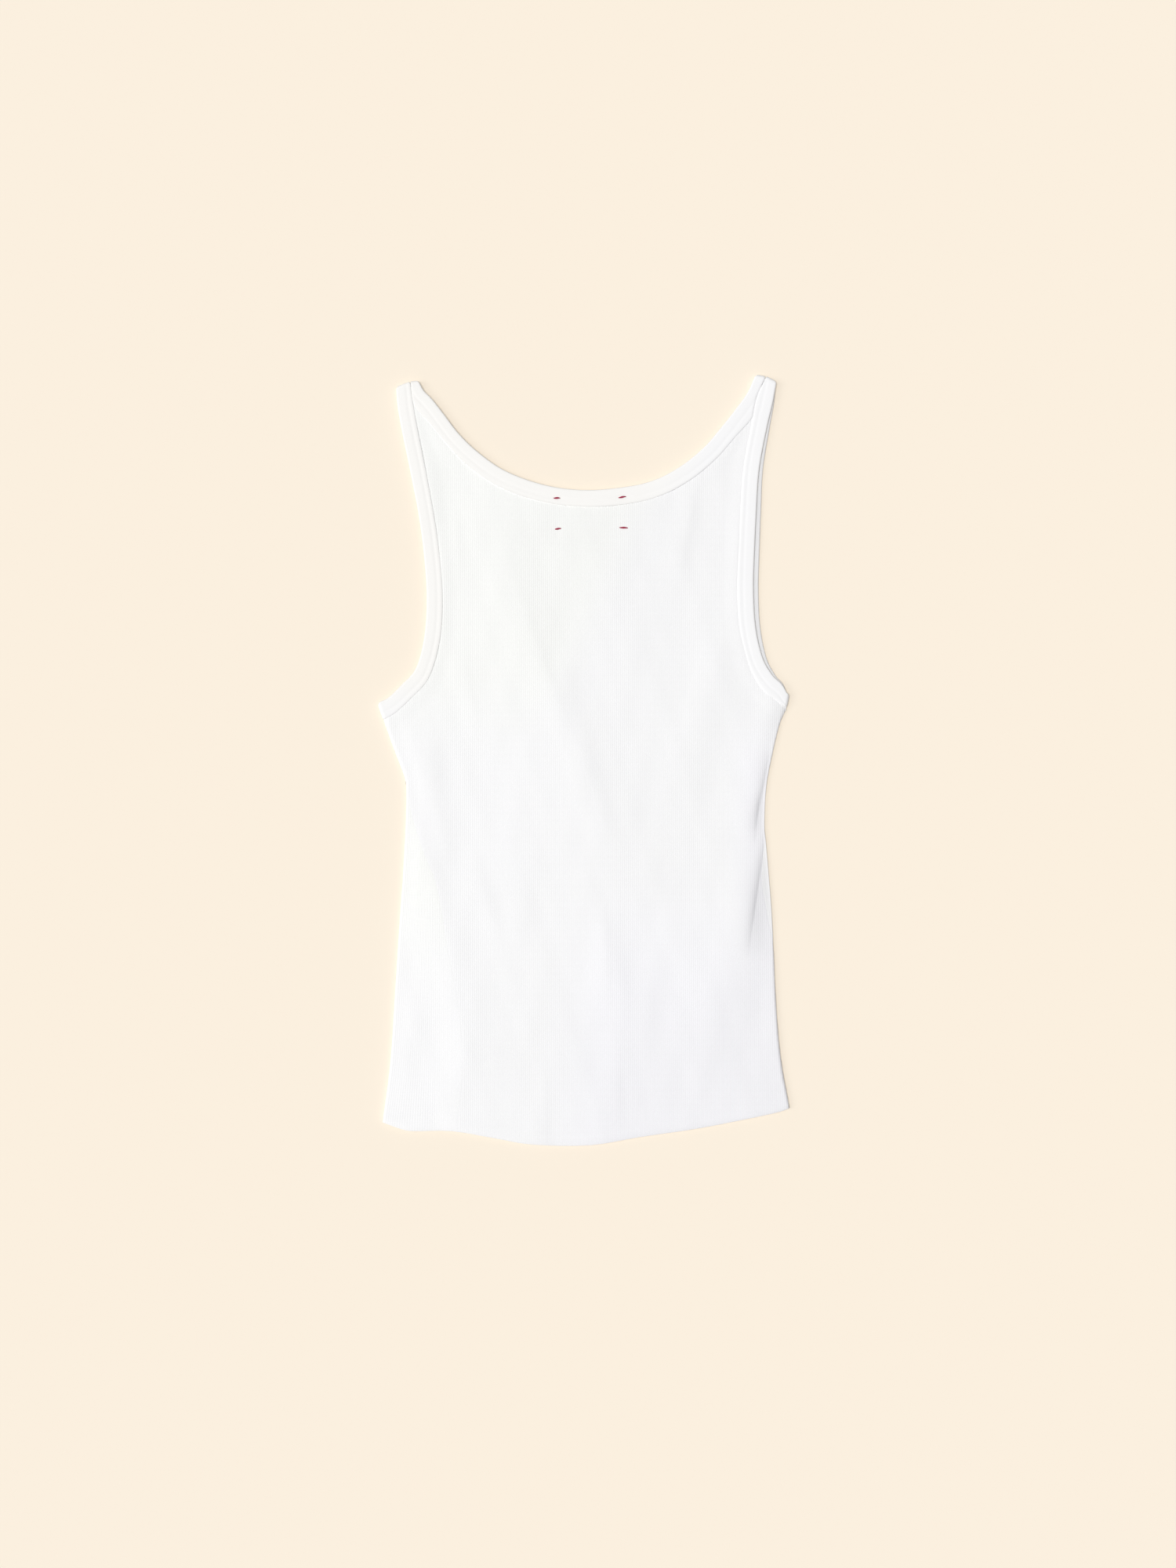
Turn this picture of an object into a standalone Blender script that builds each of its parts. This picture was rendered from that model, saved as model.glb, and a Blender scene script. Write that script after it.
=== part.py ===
"""Fine-rib cotton tank top, laid flat on its front with the back uppermost.

Two ribbed panels are each cut from a flat blank and folded round the sides.  Three
rib bindings close them: one round the neck and one round each armhole, each a
closed loop that doubles back over the shoulder or under the arm.

Frame: +Y runs to the neck, +X to the wearer's right, +Z up.  The table is z = 0.
"""

import math
from collections import namedtuple

import bmesh
import bpy
import numpy as np

MM = 0.001

# ---- driving dimensions -----------------------------------------------------------
WALL = 1.1 * MM                 # knit between the ribs
RIB_HEIGHT = 0.3 * MM           # rib above the knit between the ribs
RIB_PITCH = 1.53 * MM           # one rib and one groove
BINDING = 2.4 * MM              # folded binding, four layers of knit
SEAM_GAP = 0.3 * MM             # clearance between neighbouring pieces
BODY_HALF = 158.0 * MM          # nominal half width, where the blank turns under
SAG = 0.7 * MM                  # how far the upper layer sinks between its edges
SAG_TOP = 55.0 * MM             # it sinks below this height,
SAG_FADE = 60.0 * MM            # fully this much further down,
SAG_SIDE = 12.0 * MM            # from this far inside the folded edges
SAG_SLOPE = 30.0 * MM           # and fully this much further in
FOLD_INSET = 14.0 * MM          # soft folds fade out over this beside a folded edge
FRONT_HEM_RISE = 1.5 * MM       # the front hem lies just inside the back hem
FRONT_SHIFT = 4.0 * MM          # the front armholes lie this far to +X of the back's

FOLD_RADIUS = (BINDING + SEAM_GAP) / 2      # mid line of every half turn
PANEL_TURN = FOLD_RADIUS + WALL / 2         # outer radius of a folded panel
BINDING_TURN = FOLD_RADIUS + BINDING / 2    # outer radius of a folded binding
QUARTER = FOLD_RADIUS * math.pi / 2         # mid-line length of a quarter turn
HALF_GAP = SEAM_GAP / 2

COARSE_STEP = 10.0 * MM         # blank columns where nothing is raised
TURN_STEP = 0.7 * MM            # blank columns round a side fold
FLAP_MAX = 64.0 * MM            # the widest that a panel reaches round a side
BLANK_MARGIN = 6.0 * MM
TURN_STATIONS = 6               # steps of a binding's half turn
SPAN_STEPS = 2                  # stations to one row of a binding table
CUT_STEP = 10.0 * MM            # spacing of cut points along hem and side

# Blank rows, closest where the outline bends (mm).
ROW_Y = (-310, -240, -190, -140, -95, -55, -20, 6, 32, 80, 130, 180, 215, 300)

# ---- tables, all in millimetres ---------------------------------------------------
# A side: the folded edge x at height y, and how far the side seam lies from that
# edge along the cloth, positive on the upper face and negative underneath.
Side = namedtuple("Side", "y x seam")
LEFT_SIDE = (
    Side(y=31, x=-155.6, seam=0.0),
    Side(y=8, x=-147.3, seam=0.0),
    Side(y=-11, x=-140.0, seam=0.2),
    Side(y=-22, x=-137.8, seam=0.6),
    Side(y=-48, x=-138.2, seam=6.5),
    Side(y=-72, x=-139.4, seam=15.5),
    Side(y=-94, x=-140.7, seam=26.0),
    Side(y=-115, x=-142.3, seam=32.0),
    Side(y=-150, x=-144.6, seam=40.2),
    Side(y=-184, x=-146.7, seam=49.2),
    Side(y=-236, x=-150.3, seam=57.3),
    Side(y=-282, x=-156.3, seam=59.0),
)
RIGHT_SIDE = (
    Side(y=41, x=158.4, seam=0.0),
    Side(y=29, x=152.9, seam=0.0),
    Side(y=7, x=147.4, seam=0.0),
    Side(y=-20, x=142.2, seam=0.0),
    Side(y=-49, x=140.7, seam=0.3),
    Side(y=-63, x=141.8, seam=1.4),
    Side(y=-78, x=143.1, seam=4.0),
    Side(y=-95, x=144.5, seam=6.0),
    Side(y=-117, x=146.2, seam=3.9),
    Side(y=-147, x=147.8, seam=0.0),
    Side(y=-192, x=149.9, seam=-2.5),
    Side(y=-232, x=153.5, seam=-3.5),
    Side(y=-270, x=160.2, seam=-4.0),
)

# The hem of the upper layer, from the left fold to the right.
Hem = namedtuple("Hem", "x y")
HEM = (
    Hem(x=-156.5, y=-281.4), Hem(x=-141.0, y=-287.0), Hem(x=-131.0, y=-288.4),
    Hem(x=-102.0, y=-288.4), Hem(x=-68.0, y=-294.2), Hem(x=-38.6, y=-299.0),
    Hem(x=5.0, y=-299.4), Hem(x=44.0, y=-293.0), Hem(x=93.0, y=-285.7),
    Hem(x=147.0, y=-274.7), Hem(x=160.4, y=-270.4),
)

# A binding: its free edge and its seam line at each station.
Station = namedtuple("Station", "edge_x edge_y seam_x seam_y")
LEFT_ARMHOLE = (
    Station(edge_x=-146.5, edge_y=290.0, seam_x=-135.4, seam_y=294.6),
    Station(edge_x=-144.6, edge_y=275.5, seam_x=-132.1, seam_y=276.5),
    Station(edge_x=-141.2, edge_y=256.0, seam_x=-128.6, seam_y=256.5),
    Station(edge_x=-135.0, edge_y=226.0, seam_x=-122.6, seam_y=226.5),
    Station(edge_x=-128.3, edge_y=191.4, seam_x=-116.0, seam_y=190.5),
    Station(edge_x=-124.2, edge_y=161.0, seam_x=-111.8, seam_y=160.5),
    Station(edge_x=-121.9, edge_y=128.0, seam_x=-109.4, seam_y=128.5),
    Station(edge_x=-123.5, edge_y=97.5, seam_x=-111.2, seam_y=94.5),
    Station(edge_x=-130.1, edge_y=71.8, seam_x=-119.8, seam_y=64.5),
    Station(edge_x=-142.0, edge_y=58.0, seam_x=-134.0, seam_y=48.0),
    Station(edge_x=-151.5, edge_y=48.8, seam_x=-146.0, seam_y=36.8),
    Station(edge_x=-160.6, edge_y=44.5, seam_x=-156.0, seam_y=31.5),
)
RIGHT_ARMHOLE = (
    Station(edge_x=150.9, edge_y=294.2, seam_x=142.2, seam_y=298.6),
    Station(edge_x=147.0, edge_y=277.0, seam_x=134.3, seam_y=281.0),
    Station(edge_x=142.6, edge_y=258.2, seam_x=130.3, seam_y=259.0),
    Station(edge_x=136.6, edge_y=226.0, seam_x=124.4, seam_y=226.0),
    Station(edge_x=134.4, edge_y=193.0, seam_x=122.0, seam_y=192.5),
    Station(edge_x=132.7, edge_y=156.0, seam_x=120.2, seam_y=155.5),
    Station(edge_x=132.2, edge_y=132.0, seam_x=119.7, seam_y=131.5),
    Station(edge_x=133.8, edge_y=104.0, seam_x=121.6, seam_y=101.5),
    Station(edge_x=139.2, edge_y=80.0, seam_x=128.8, seam_y=73.5),
    Station(edge_x=147.0, edge_y=66.2, seam_x=139.3, seam_y=54.6),
    Station(edge_x=154.0, edge_y=59.4, seam_x=149.0, seam_y=47.2),
    Station(edge_x=160.5, edge_y=52.0, seam_x=158.4, seam_y=41.2),
)
BACK_NECK = (
    Station(edge_x=-127.4, edge_y=295.4, seam_x=-135.4, seam_y=294.6),
    Station(edge_x=-123.8, edge_y=287.0, seam_x=-132.9, seam_y=281.0),
    Station(edge_x=-117.2, edge_y=280.2, seam_x=-129.0, seam_y=272.0),
    Station(edge_x=-108.0, edge_y=268.4, seam_x=-119.0, seam_y=261.0),
    Station(edge_x=-96.6, edge_y=253.6, seam_x=-106.9, seam_y=246.4),
    Station(edge_x=-81.3, edge_y=239.0, seam_x=-89.7, seam_y=228.8),
    Station(edge_x=-60.0, edge_y=224.6, seam_x=-66.6, seam_y=212.9),
    Station(edge_x=-30.0, edge_y=213.9, seam_x=-33.4, seam_y=201.0),
    Station(edge_x=0.4, edge_y=210.0, seam_x=1.0, seam_y=196.8),
    Station(edge_x=31.0, edge_y=212.2, seam_x=34.5, seam_y=199.0),
    Station(edge_x=54.1, edge_y=217.4, seam_x=60.0, seam_y=205.4),
    Station(edge_x=74.8, edge_y=228.0, seam_x=83.4, seam_y=217.8),
    Station(edge_x=93.1, edge_y=242.6, seam_x=103.2, seam_y=234.2),
    Station(edge_x=106.5, edge_y=258.0, seam_x=117.8, seam_y=250.8),
    Station(edge_x=117.8, edge_y=272.2, seam_x=131.6, seam_y=267.0),
    Station(edge_x=127.0, edge_y=285.0, seam_x=134.8, seam_y=282.5),
    Station(edge_x=133.4, edge_y=300.2, seam_x=142.2, seam_y=298.6),
)
FRONT_NECK = (
    Station(edge_x=133.4, edge_y=300.2, seam_x=142.2, seam_y=298.6),
    Station(edge_x=129.5, edge_y=289.0, seam_x=139.5, seam_y=287.0),
    Station(edge_x=126.0, edge_y=280.0, seam_x=137.0, seam_y=277.0),
    Station(edge_x=117.5, edge_y=262.0, seam_x=129.0, seam_y=256.5),
    Station(edge_x=103.0, edge_y=228.0, seam_x=115.2, seam_y=222.6),
    Station(edge_x=91.0, edge_y=198.0, seam_x=103.3, seam_y=193.0),
    Station(edge_x=76.0, edge_y=162.0, seam_x=87.6, seam_y=155.6),
    Station(edge_x=58.0, edge_y=134.0, seam_x=66.5, seam_y=123.8),
    Station(edge_x=35.0, edge_y=117.5, seam_x=39.5, seam_y=105.0),
    Station(edge_x=11.0, edge_y=112.0, seam_x=11.0, seam_y=98.6),
    Station(edge_x=-13.0, edge_y=117.5, seam_x=-17.5, seam_y=105.0),
    Station(edge_x=-36.0, edge_y=134.0, seam_x=-44.5, seam_y=123.8),
    Station(edge_x=-54.0, edge_y=162.0, seam_x=-65.6, seam_y=155.6),
    Station(edge_x=-70.0, edge_y=198.0, seam_x=-82.3, seam_y=193.0),
    Station(edge_x=-86.0, edge_y=230.0, seam_x=-98.0, seam_y=224.4),
    Station(edge_x=-103.0, edge_y=258.0, seam_x=-114.2, seam_y=251.0),
    Station(edge_x=-117.0, edge_y=279.0, seam_x=-128.0, seam_y=272.6),
    Station(edge_x=-124.6, edge_y=287.3, seam_x=-134.5, seam_y=284.0),
    Station(edge_x=-127.4, edge_y=295.4, seam_x=-135.4, seam_y=294.6),
)

# Soft folds of the upper layer: a ridge along a line, its height, and how far it
# runs out to the -X and the +X side of the line.  A negative height is a trough.
Fold = namedtuple("Fold", "x0 y0 x1 y1 height west east")
FOLDS = (
    Fold(x0=-80, y0=206, x1=-14, y1=20, height=1.1, west=30, east=13),
    Fold(x0=-24, y0=78, x1=26, y1=-88, height=1.7, west=26, east=11),
    Fold(x0=-128, y0=44, x1=-106, y1=-86, height=1.0, west=14, east=10),
    Fold(x0=-88, y0=-70, x1=-68, y1=-140, height=0.9, west=16, east=9),
    Fold(x0=112, y0=120, x1=62, y1=-40, height=1.0, west=14, east=18),
    Fold(x0=20, y0=-104, x1=32, y1=-250, height=0.8, west=16, east=10),
    Fold(x0=134, y0=-96, x1=84, y1=-262, height=1.5, west=34, east=16),
    Fold(x0=146, y0=-150, x1=122, y1=-262, height=-0.6, west=14, east=12),
    Fold(x0=-112, y0=-150, x1=-92, y1=-270, height=0.4, west=12, east=14),
    Fold(x0=52, y0=-140, x1=46, y1=-232, height=0.6, west=12, east=9),
)
# Creases beside the +X folded edge, which reach closer to it than the folds do.
EDGE_CREASES = (
    Fold(x0=163, y0=62, x1=140, y1=-14, height=-0.6, west=9, east=6),
    Fold(x0=150, y0=24, x1=133, y1=-56, height=-0.8, west=7, east=5),
    Fold(x0=144.5, y0=-46, x1=129, y1=-142, height=-1.0, west=13, east=6),
)
# The allowances of the -X side seam lie under it and lift it, from its top down.
SEAM_RIDGE = 1.2 * MM
SEAM_RIDGE_WEST = 20.0 * MM
SEAM_RIDGE_EAST = 11.0 * MM
SEAM_RIDGE_TOP = -30.0 * MM
SEAM_RIDGE_FADE = 60.0 * MM

KNIT_COLOUR = (0.90, 0.90, 0.89, 1.0)
BINDING_COLOUR = (0.92, 0.92, 0.91, 1.0)
KNIT_ROUGHNESS = 0.95


# ---- curves -----------------------------------------------------------------------
def table(rows):
    """The rows of a table as an array in metres."""
    return np.array(rows, dtype=float) * MM


def smooth_path(points, steps):
    """A Catmull-Rom curve through points, with the given steps to each span."""
    ends = (2 * points[0] - points[1], 2 * points[-1] - points[-2])
    knots = np.vstack([ends[0], points, ends[1]])
    path = []
    for k in range(1, len(knots) - 2):
        before, here, there, after = knots[k - 1:k + 3]
        for t in np.arange(steps) / steps:
            path.append(0.5 * (2 * here + (there - before) * t
                               + (2 * before - 5 * here + 4 * there - after) * t ** 2
                               + (3 * here - before - 3 * there + after) * t ** 3))
    path.append(points[-1])
    return np.array(path)


def smoothstep(value):
    """0 below 0, 1 above 1 and an even S between."""
    t = np.clip(value, 0.0, 1.0)
    return t * t * (3 - 2 * t)


def side_profile(side):
    """The smoothed table of one side, from the hem up."""
    return smooth_path(table(side)[::-1], 4)


LEFT_PROFILE = side_profile(LEFT_SIDE)
RIGHT_PROFILE = side_profile(RIGHT_SIDE)
HEM_PATH = smooth_path(table(HEM), 4)


def fold_x(y, sign):
    """The folded edge at height y, on the -X side (sign -1) or the +X side (+1)."""
    profile = LEFT_PROFILE if sign < 0 else RIGHT_PROFILE
    return np.interp(y, profile[:, 0], profile[:, 1])


def seam_offset(y, sign):
    """How far the side seam lies from the folded edge, positive on the upper face."""
    profile = LEFT_PROFILE if sign < 0 else RIGHT_PROFILE
    return np.interp(y, profile[:, 0], profile[:, 2])


def hem_y(x):
    """The hem's height at x."""
    return np.interp(x, HEM_PATH[:, 0], HEM_PATH[:, 1])


# ---- from the flat blank to the folded panel ----------------------------------------
# A blank's ribs run along y at a constant v, and both side folds are at
# v = -BODY_HALF and +BODY_HALF.  Between them the knit narrows and widens with the
# body, more towards the sides than in the middle.
def turn_line(y, sign):
    """Where the middle of the side fold lies when the cloth is opened out flat."""
    return fold_x(y, sign) + sign * (QUARTER - PANEL_TURN)


def opened_x(v, y):
    """The opened-out x of the blank's v at height y."""
    sign = np.where(v < 0, -1.0, 1.0)
    edge = np.where(v < 0, turn_line(y, -1), turn_line(y, 1))
    inside = v + (edge - sign * BODY_HALF) * np.abs(v / BODY_HALF) ** 3
    outside = edge + (v - sign * BODY_HALF)
    return np.where(np.abs(v) <= BODY_HALF, inside, outside)


def blank_v(x, y):
    """The blank's v at an opened-out x, found by halving."""
    low = np.full_like(x, -BODY_HALF - FLAP_MAX)
    high = np.full_like(x, BODY_HALF + FLAP_MAX)
    for _ in range(48):
        middle = (low + high) / 2
        below = opened_x(middle, y) < x
        low = np.where(below, middle, low)
        high = np.where(below, high, middle)
    return (low + high) / 2


def round_side(s, n):
    """Distance in from the folded edge, and height, at a place s along the cloth
    from the middle of the fold (positive upwards) and n out from its mid line."""
    angle = np.clip(s, -QUARTER, QUARTER) / FOLD_RADIUS
    flat = np.maximum(np.abs(s) - QUARTER, 0.0)
    inset = PANEL_TURN - (FOLD_RADIUS + n) * np.cos(angle) + flat
    height = PANEL_TURN + (FOLD_RADIUS + n) * np.sin(angle)
    return inset, height


def folds_rise(x, y, folds):
    """The height of a table of folds at a place."""
    rise = np.zeros_like(x)
    for fold in folds:
        x0, y0, x1, y1, height, west, east = np.array(fold) * MM
        length = math.hypot(x1 - x0, y1 - y0)
        along = ((x - x0) * (x1 - x0) + (y - y0) * (y1 - y0)) / length
        # the folds all run downwards, so east of one is to the left of its way
        across = ((x - x0) * (y0 - y1) + (y - y0) * (x1 - x0)) / length
        reach = np.where(across > 0, east, west)
        fade = np.sin(np.pi * np.clip(along / length, 0.0, 1.0))
        rise = rise + height * fade * np.exp(-(across / reach) ** 2)
    return rise


def seam_ridge(x, y):
    """The height of the cloth over the -X side seam."""
    across = x - fold_x(y, -1) - seam_offset(y, -1)
    reach = np.where(across > 0, SEAM_RIDGE_EAST, SEAM_RIDGE_WEST)
    fade = smoothstep((SEAM_RIDGE_TOP - y) / SEAM_RIDGE_FADE)
    return SEAM_RIDGE * fade * np.exp(-(across / reach) ** 2)


def drape(x, y):
    """How far the upper layer rises or sinks at a place, from its sag and folds."""
    inset = np.minimum(x - fold_x(y, -1), fold_x(y, 1) - x)
    sag = SAG * smoothstep((SAG_TOP - y) / SAG_FADE) * smoothstep((inset - SAG_SIDE) / SAG_SLOPE)
    rise = (folds_rise(x, y, FOLDS) + seam_ridge(x, y) - sag) * smoothstep(inset / FOLD_INSET)
    return rise + folds_rise(x, y, EDGE_CREASES)


def fold_panel(blank, upper):
    """Blank points (v, y, n) in their place on the garment.  The back panel lies on
    top and turns down at the sides, and the front panel lies below and turns up."""
    v, y, n = blank.T
    left = v < 0
    opened = opened_x(v, y)
    inward = np.where(left, opened - turn_line(y, -1), turn_line(y, 1) - opened)
    s = inward if upper else -inward
    inset, z = round_side(s, n)
    x = np.where(left, fold_x(y, -1) + inset, fold_x(y, 1) - inset)
    z = z + drape(x, y) * smoothstep(s / QUARTER)
    return np.column_stack([x, y, z])


# ---- bindings: flat rows above and below, joined by half turns ------------------------
def turn_direction(end, neighbour):
    """The way out of the garment, square to the folded end of a binding."""
    across = end[2:] - end[:2]
    out = np.array([-across[1], across[0]]) / np.hypot(*across)
    return out if out @ (end[:2] - neighbour[:2]) > 0 else -out


def pulled_in(rows):
    """A binding table whose two end rows lie on the axes of their half turns."""
    rows = rows.copy()
    for end, neighbour in ((0, 1), (-1, -2)):
        out = turn_direction(rows[end], rows[neighbour])
        rows[end] -= np.tile(out * BINDING_TURN, 2)
    return rows


def armhole_rows(stations, shift):
    """The smoothed rows of one layer of an armhole, moved sideways in the middle."""
    rows = smooth_path(pulled_in(table(stations)), SPAN_STEPS)
    sway = shift * np.sin(np.pi * np.linspace(0, 1, len(rows)))
    rows[:, 0] += sway
    rows[:, 2] += sway
    return rows


def neck_rows(stations, left, right):
    """The smoothed rows of one layer of the neck, kept clear of the armholes."""
    rows = smooth_path(pulled_in(table(stations)), SPAN_STEPS)
    x, y = rows[:, 2], rows[:, 3]
    beside_left = np.interp(y, left[::-1, 3], left[::-1, 2])
    beside_right = np.interp(y, right[::-1, 3], right[::-1, 2])
    rows[:, 2] = np.where(x < 0, np.maximum(x, beside_left), np.minimum(x, beside_right))
    return rows


def lying(rows, up):
    """Stations (edge, seam, facing) of rows that lie flat, facing up or down."""
    facing = np.array([0.0, 0.0, 1.0 if up else -1.0])
    return [(row[:2], row[2:], facing) for row in rows]


def half_turn(row, neighbour, downwards):
    """Stations round one half turn at the end of a layer."""
    out = turn_direction(row, neighbour)
    stations = []
    for k in range(1, TURN_STATIONS):
        angle = math.pi / 2 - math.pi * k / TURN_STATIONS
        angle = angle if downwards else -angle
        facing = np.array([*(out * math.cos(angle)), math.sin(angle)])
        stations.append((row[:2], row[2:], facing))
    return stations


def binding_loop(upper, lower):
    """Stations of a closed binding: over the top, round, back below and round."""
    return (lying(upper, True) + half_turn(upper[-1], upper[-2], True)
            + lying(lower, False) + half_turn(upper[0], upper[1], False))


def binding_section(width):
    """A folded band: (distance from its free edge, distance out of its mid line)."""
    half = BINDING / 2
    roll, side = 0.9 * MM, 0.5 * MM
    return ((0.0, 0.4 * half), (roll, half), (width - side, half), (width, half - side),
            (width, side - half), (width - side, -half), (roll, -half), (0.0, -0.4 * half))


def binding_points(station):
    """The eight corners of a binding at one station."""
    edge, seam, facing = station
    width = np.hypot(*(seam - edge)) - HALF_GAP
    across = np.append((seam - edge) / np.hypot(*(seam - edge)), 0.0)
    axis = np.append(edge, BINDING_TURN)
    return [axis + across * a + facing * (FOLD_RADIUS + n) for a, n in binding_section(width)]


# ---- outlines of the blanks -----------------------------------------------------------
def beyond_seam(rows):
    """Points on the panel's side of a binding's seam line, half a gap off it."""
    across = rows[:, 2:] - rows[:, :2]
    across /= np.hypot(across[:, 0], across[:, 1])[:, None]
    return rows[:, 2:] + across * HALF_GAP


def clear_of(points, line, distance):
    """The points that are at least a distance from every point of a line."""
    steps = np.hypot(*(points[:, None, :] - line[None, :, :]).transpose(2, 0, 1))
    return points[steps.min(axis=1) > distance]


def fine(points):
    """A line through points with ten steps to a span, to measure distances from."""
    places = np.linspace(0, len(points) - 1, 10 * len(points))
    knots = np.arange(len(points))
    return np.column_stack([np.interp(places, knots, points[:, k]) for k in (0, 1)])


def flat_points(points):
    """Cut points that lie between the side folds, in the blank's (v, y)."""
    return np.column_stack([blank_v(points[:, 0], points[:, 1]), points[:, 1]])


def side_cut(sign, upper, top_y):
    """A panel's cut along one side seam, from the hem up, in the blank's (v, y)."""
    low_x = fold_x(HEM_PATH[0 if sign < 0 else -1, 1], sign)
    seam_at_hem = max(seam_offset(-1.0, sign), 0.0)
    bottom = hem_y(low_x - sign * seam_at_hem)
    y = np.append(np.arange(bottom, top_y - CUT_STEP / 2, CUT_STEP), top_y)
    clearance = HALF_GAP if upper else -HALF_GAP
    s = seam_offset(y, sign) + clearance
    inward = s if upper else -s
    opened = turn_line(y, sign) - sign * inward
    return np.column_stack([blank_v(opened, y), y])


def hem_cut(from_v, to_v, upper):
    """A panel's hem between two places on its blank."""
    count = int(abs(to_v - from_v) / CUT_STEP) + 1
    v = np.linspace(from_v, to_v, count + 1)[1:-1]
    level = np.full_like(v, HEM_PATH[:, 1].mean())
    place = fold_panel(np.column_stack([v, level, 0 * v]), upper)
    y = hem_y(place[:, 0])
    if not upper:
        under = smoothstep((PANEL_TURN - place[:, 2]) / WALL)
        y = y + FRONT_HEM_RISE * under
    return np.column_stack([v, y])


def panel_outline(neck, left, right, upper):
    """The closed cut line of a panel in the blank's (v, y)."""
    seams = [beyond_seam(rows) for rows in (left, neck, right)]
    clear = 3 * SEAM_GAP
    neck_line = fine(seams[1])
    left_cut = clear_of(seams[0], neck_line, clear)[::-1]
    right_cut = clear_of(seams[2], neck_line, clear)
    armhole_lines = np.vstack([fine(seams[0]), fine(seams[2])])
    neck_cut = clear_of(seams[1], armhole_lines, clear)
    if neck_cut[0, 0] > 0:
        neck_cut = neck_cut[::-1]
    left_side = side_cut(-1, upper, table(LEFT_ARMHOLE)[-1, 3] - 2 * SEAM_GAP)
    right_side = side_cut(1, upper, table(RIGHT_ARMHOLE)[-1, 3] - 2 * SEAM_GAP)
    hem = hem_cut(right_side[0, 0], left_side[0, 0], upper)
    around = [left_side, flat_points(left_cut), flat_points(neck_cut),
              flat_points(right_cut), right_side[::-1], hem]
    return np.vstack(around)


# ---- Blender objects ------------------------------------------------------------------
def new_object(name, bm, collection):
    """An object from a bmesh."""
    mesh = bpy.data.meshes.new(name)
    bm.to_mesh(mesh)
    bm.free()
    obj = bpy.data.objects.new(name, mesh)
    collection.objects.link(obj)
    return obj


def blank_columns(start, stop, step, height):
    """Columns (v, rise) of a blank: ribs of a height, or plain where it is 0."""
    count = max(1, round((stop - start) / step))
    places = np.linspace(start, stop, count + 1)
    return [(v, height if k % 2 else 0.0) for k, v in enumerate(places)]


def joined_columns(*runs):
    """Runs of columns end to end, each starting where the last one stopped."""
    columns = list(runs[0])
    for run in runs[1:]:
        columns += run[1:]
    return columns


def blank_object(name, outer, inner, collection):
    """A blank: ribbed on its outer face, plain on its inner face."""
    bm = bmesh.new()
    rows = np.array(ROW_Y) * MM
    faces = []
    for columns, base in ((outer, WALL / 2), (inner, -WALL / 2)):
        grid = [[bm.verts.new((v, y, base + rise)) for v, rise in columns] for y in rows]
        for low, high in zip(grid, grid[1:]):
            for k in range(len(columns) - 1):
                bm.faces.new((low[k], low[k + 1], high[k + 1], high[k]))
        faces.append(grid)
    top, bottom = faces
    for row in (0, -1):
        bm.faces.new(top[row] + bottom[row][::-1])
    for column in (0, -1):
        bm.faces.new([row[column] for row in top] + [row[column] for row in bottom[::-1]])
    bmesh.ops.recalc_face_normals(bm, faces=bm.faces)
    return new_object(name, bm, collection)


def cutter_object(name, outline, collection):
    """A prism on a panel's cut line."""
    bm = bmesh.new()
    depth = 4 * WALL
    base = bm.faces.new([bm.verts.new((v, y, -depth)) for v, y in outline])
    grown = bmesh.ops.extrude_face_region(bm, geom=[base])["geom"]
    moved = [item for item in grown if isinstance(item, bmesh.types.BMVert)]
    bmesh.ops.translate(bm, verts=moved, vec=(0, 0, 2 * depth))
    bmesh.ops.recalc_face_normals(bm, faces=bm.faces)
    obj = new_object(name, bm, collection)
    obj.hide_render = True
    obj.display_type = "WIRE"
    return obj


def cut_blank(blank, cutter):
    """The blank inside the cutter, as a bmesh of triangles."""
    cut = blank.modifiers.new("cut", "BOOLEAN")
    cut.operation = "INTERSECT"
    cut.solver = "EXACT"
    cut.object = cutter
    bpy.context.view_layer.update()
    graph = bpy.context.evaluated_depsgraph_get()
    mesh = bpy.data.meshes.new_from_object(blank.evaluated_get(graph))
    bm = bmesh.new()
    bm.from_mesh(mesh)
    bmesh.ops.remove_doubles(bm, verts=bm.verts, dist=0.002 * MM)
    bmesh.ops.dissolve_degenerate(bm, edges=bm.edges, dist=0.002 * MM)
    bmesh.ops.triangulate(bm, faces=bm.faces)
    bpy.data.objects.remove(blank)
    bpy.data.objects.remove(cutter)
    bpy.data.meshes.remove(mesh)
    return bm


def make_panel(name, outer, outline, upper, collection, cutters):
    """A panel: its blank cut to its outline and folded into place."""
    inner = blank_columns(outer[0][0], outer[-1][0], COARSE_STEP, 0.0)
    blank = blank_object(name + "_blank", outer, inner, cutters)
    cutter = cutter_object(name + "_cutter", outline, cutters)
    bm = cut_blank(blank, cutter)
    flat = np.array([vert.co for vert in bm.verts], dtype=float)
    for vert, place in zip(bm.verts, fold_panel(flat, upper)):
        vert.co = place
    if not upper:
        # the lower panel's blank is turned over, which turns its faces inside out
        bmesh.ops.reverse_faces(bm, faces=bm.faces)
    return new_object(name, bm, collection)


def make_binding(name, loop, collection):
    """A binding: a tube of eight-cornered sections through its closed loop."""
    bm = bmesh.new()
    rings = [[bm.verts.new(point) for point in binding_points(station)] for station in loop]
    for ring, following in zip(rings, rings[1:] + rings[:1]):
        for k in range(len(ring)):
            after = (k + 1) % len(ring)
            bm.faces.new((ring[k], ring[after], following[after], following[k]))
    bmesh.ops.recalc_face_normals(bm, faces=bm.faces)
    return new_object(name, bm, collection)


def material(name, colour):
    """A plain cotton finish."""
    finish = bpy.data.materials.new(name)
    finish.use_nodes = True
    shader = finish.node_tree.nodes["Principled BSDF"]
    shader.inputs["Base Color"].default_value = colour
    shader.inputs["Roughness"].default_value = KNIT_ROUGHNESS
    shader.inputs["Metallic"].default_value = 0.0
    return finish


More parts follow.
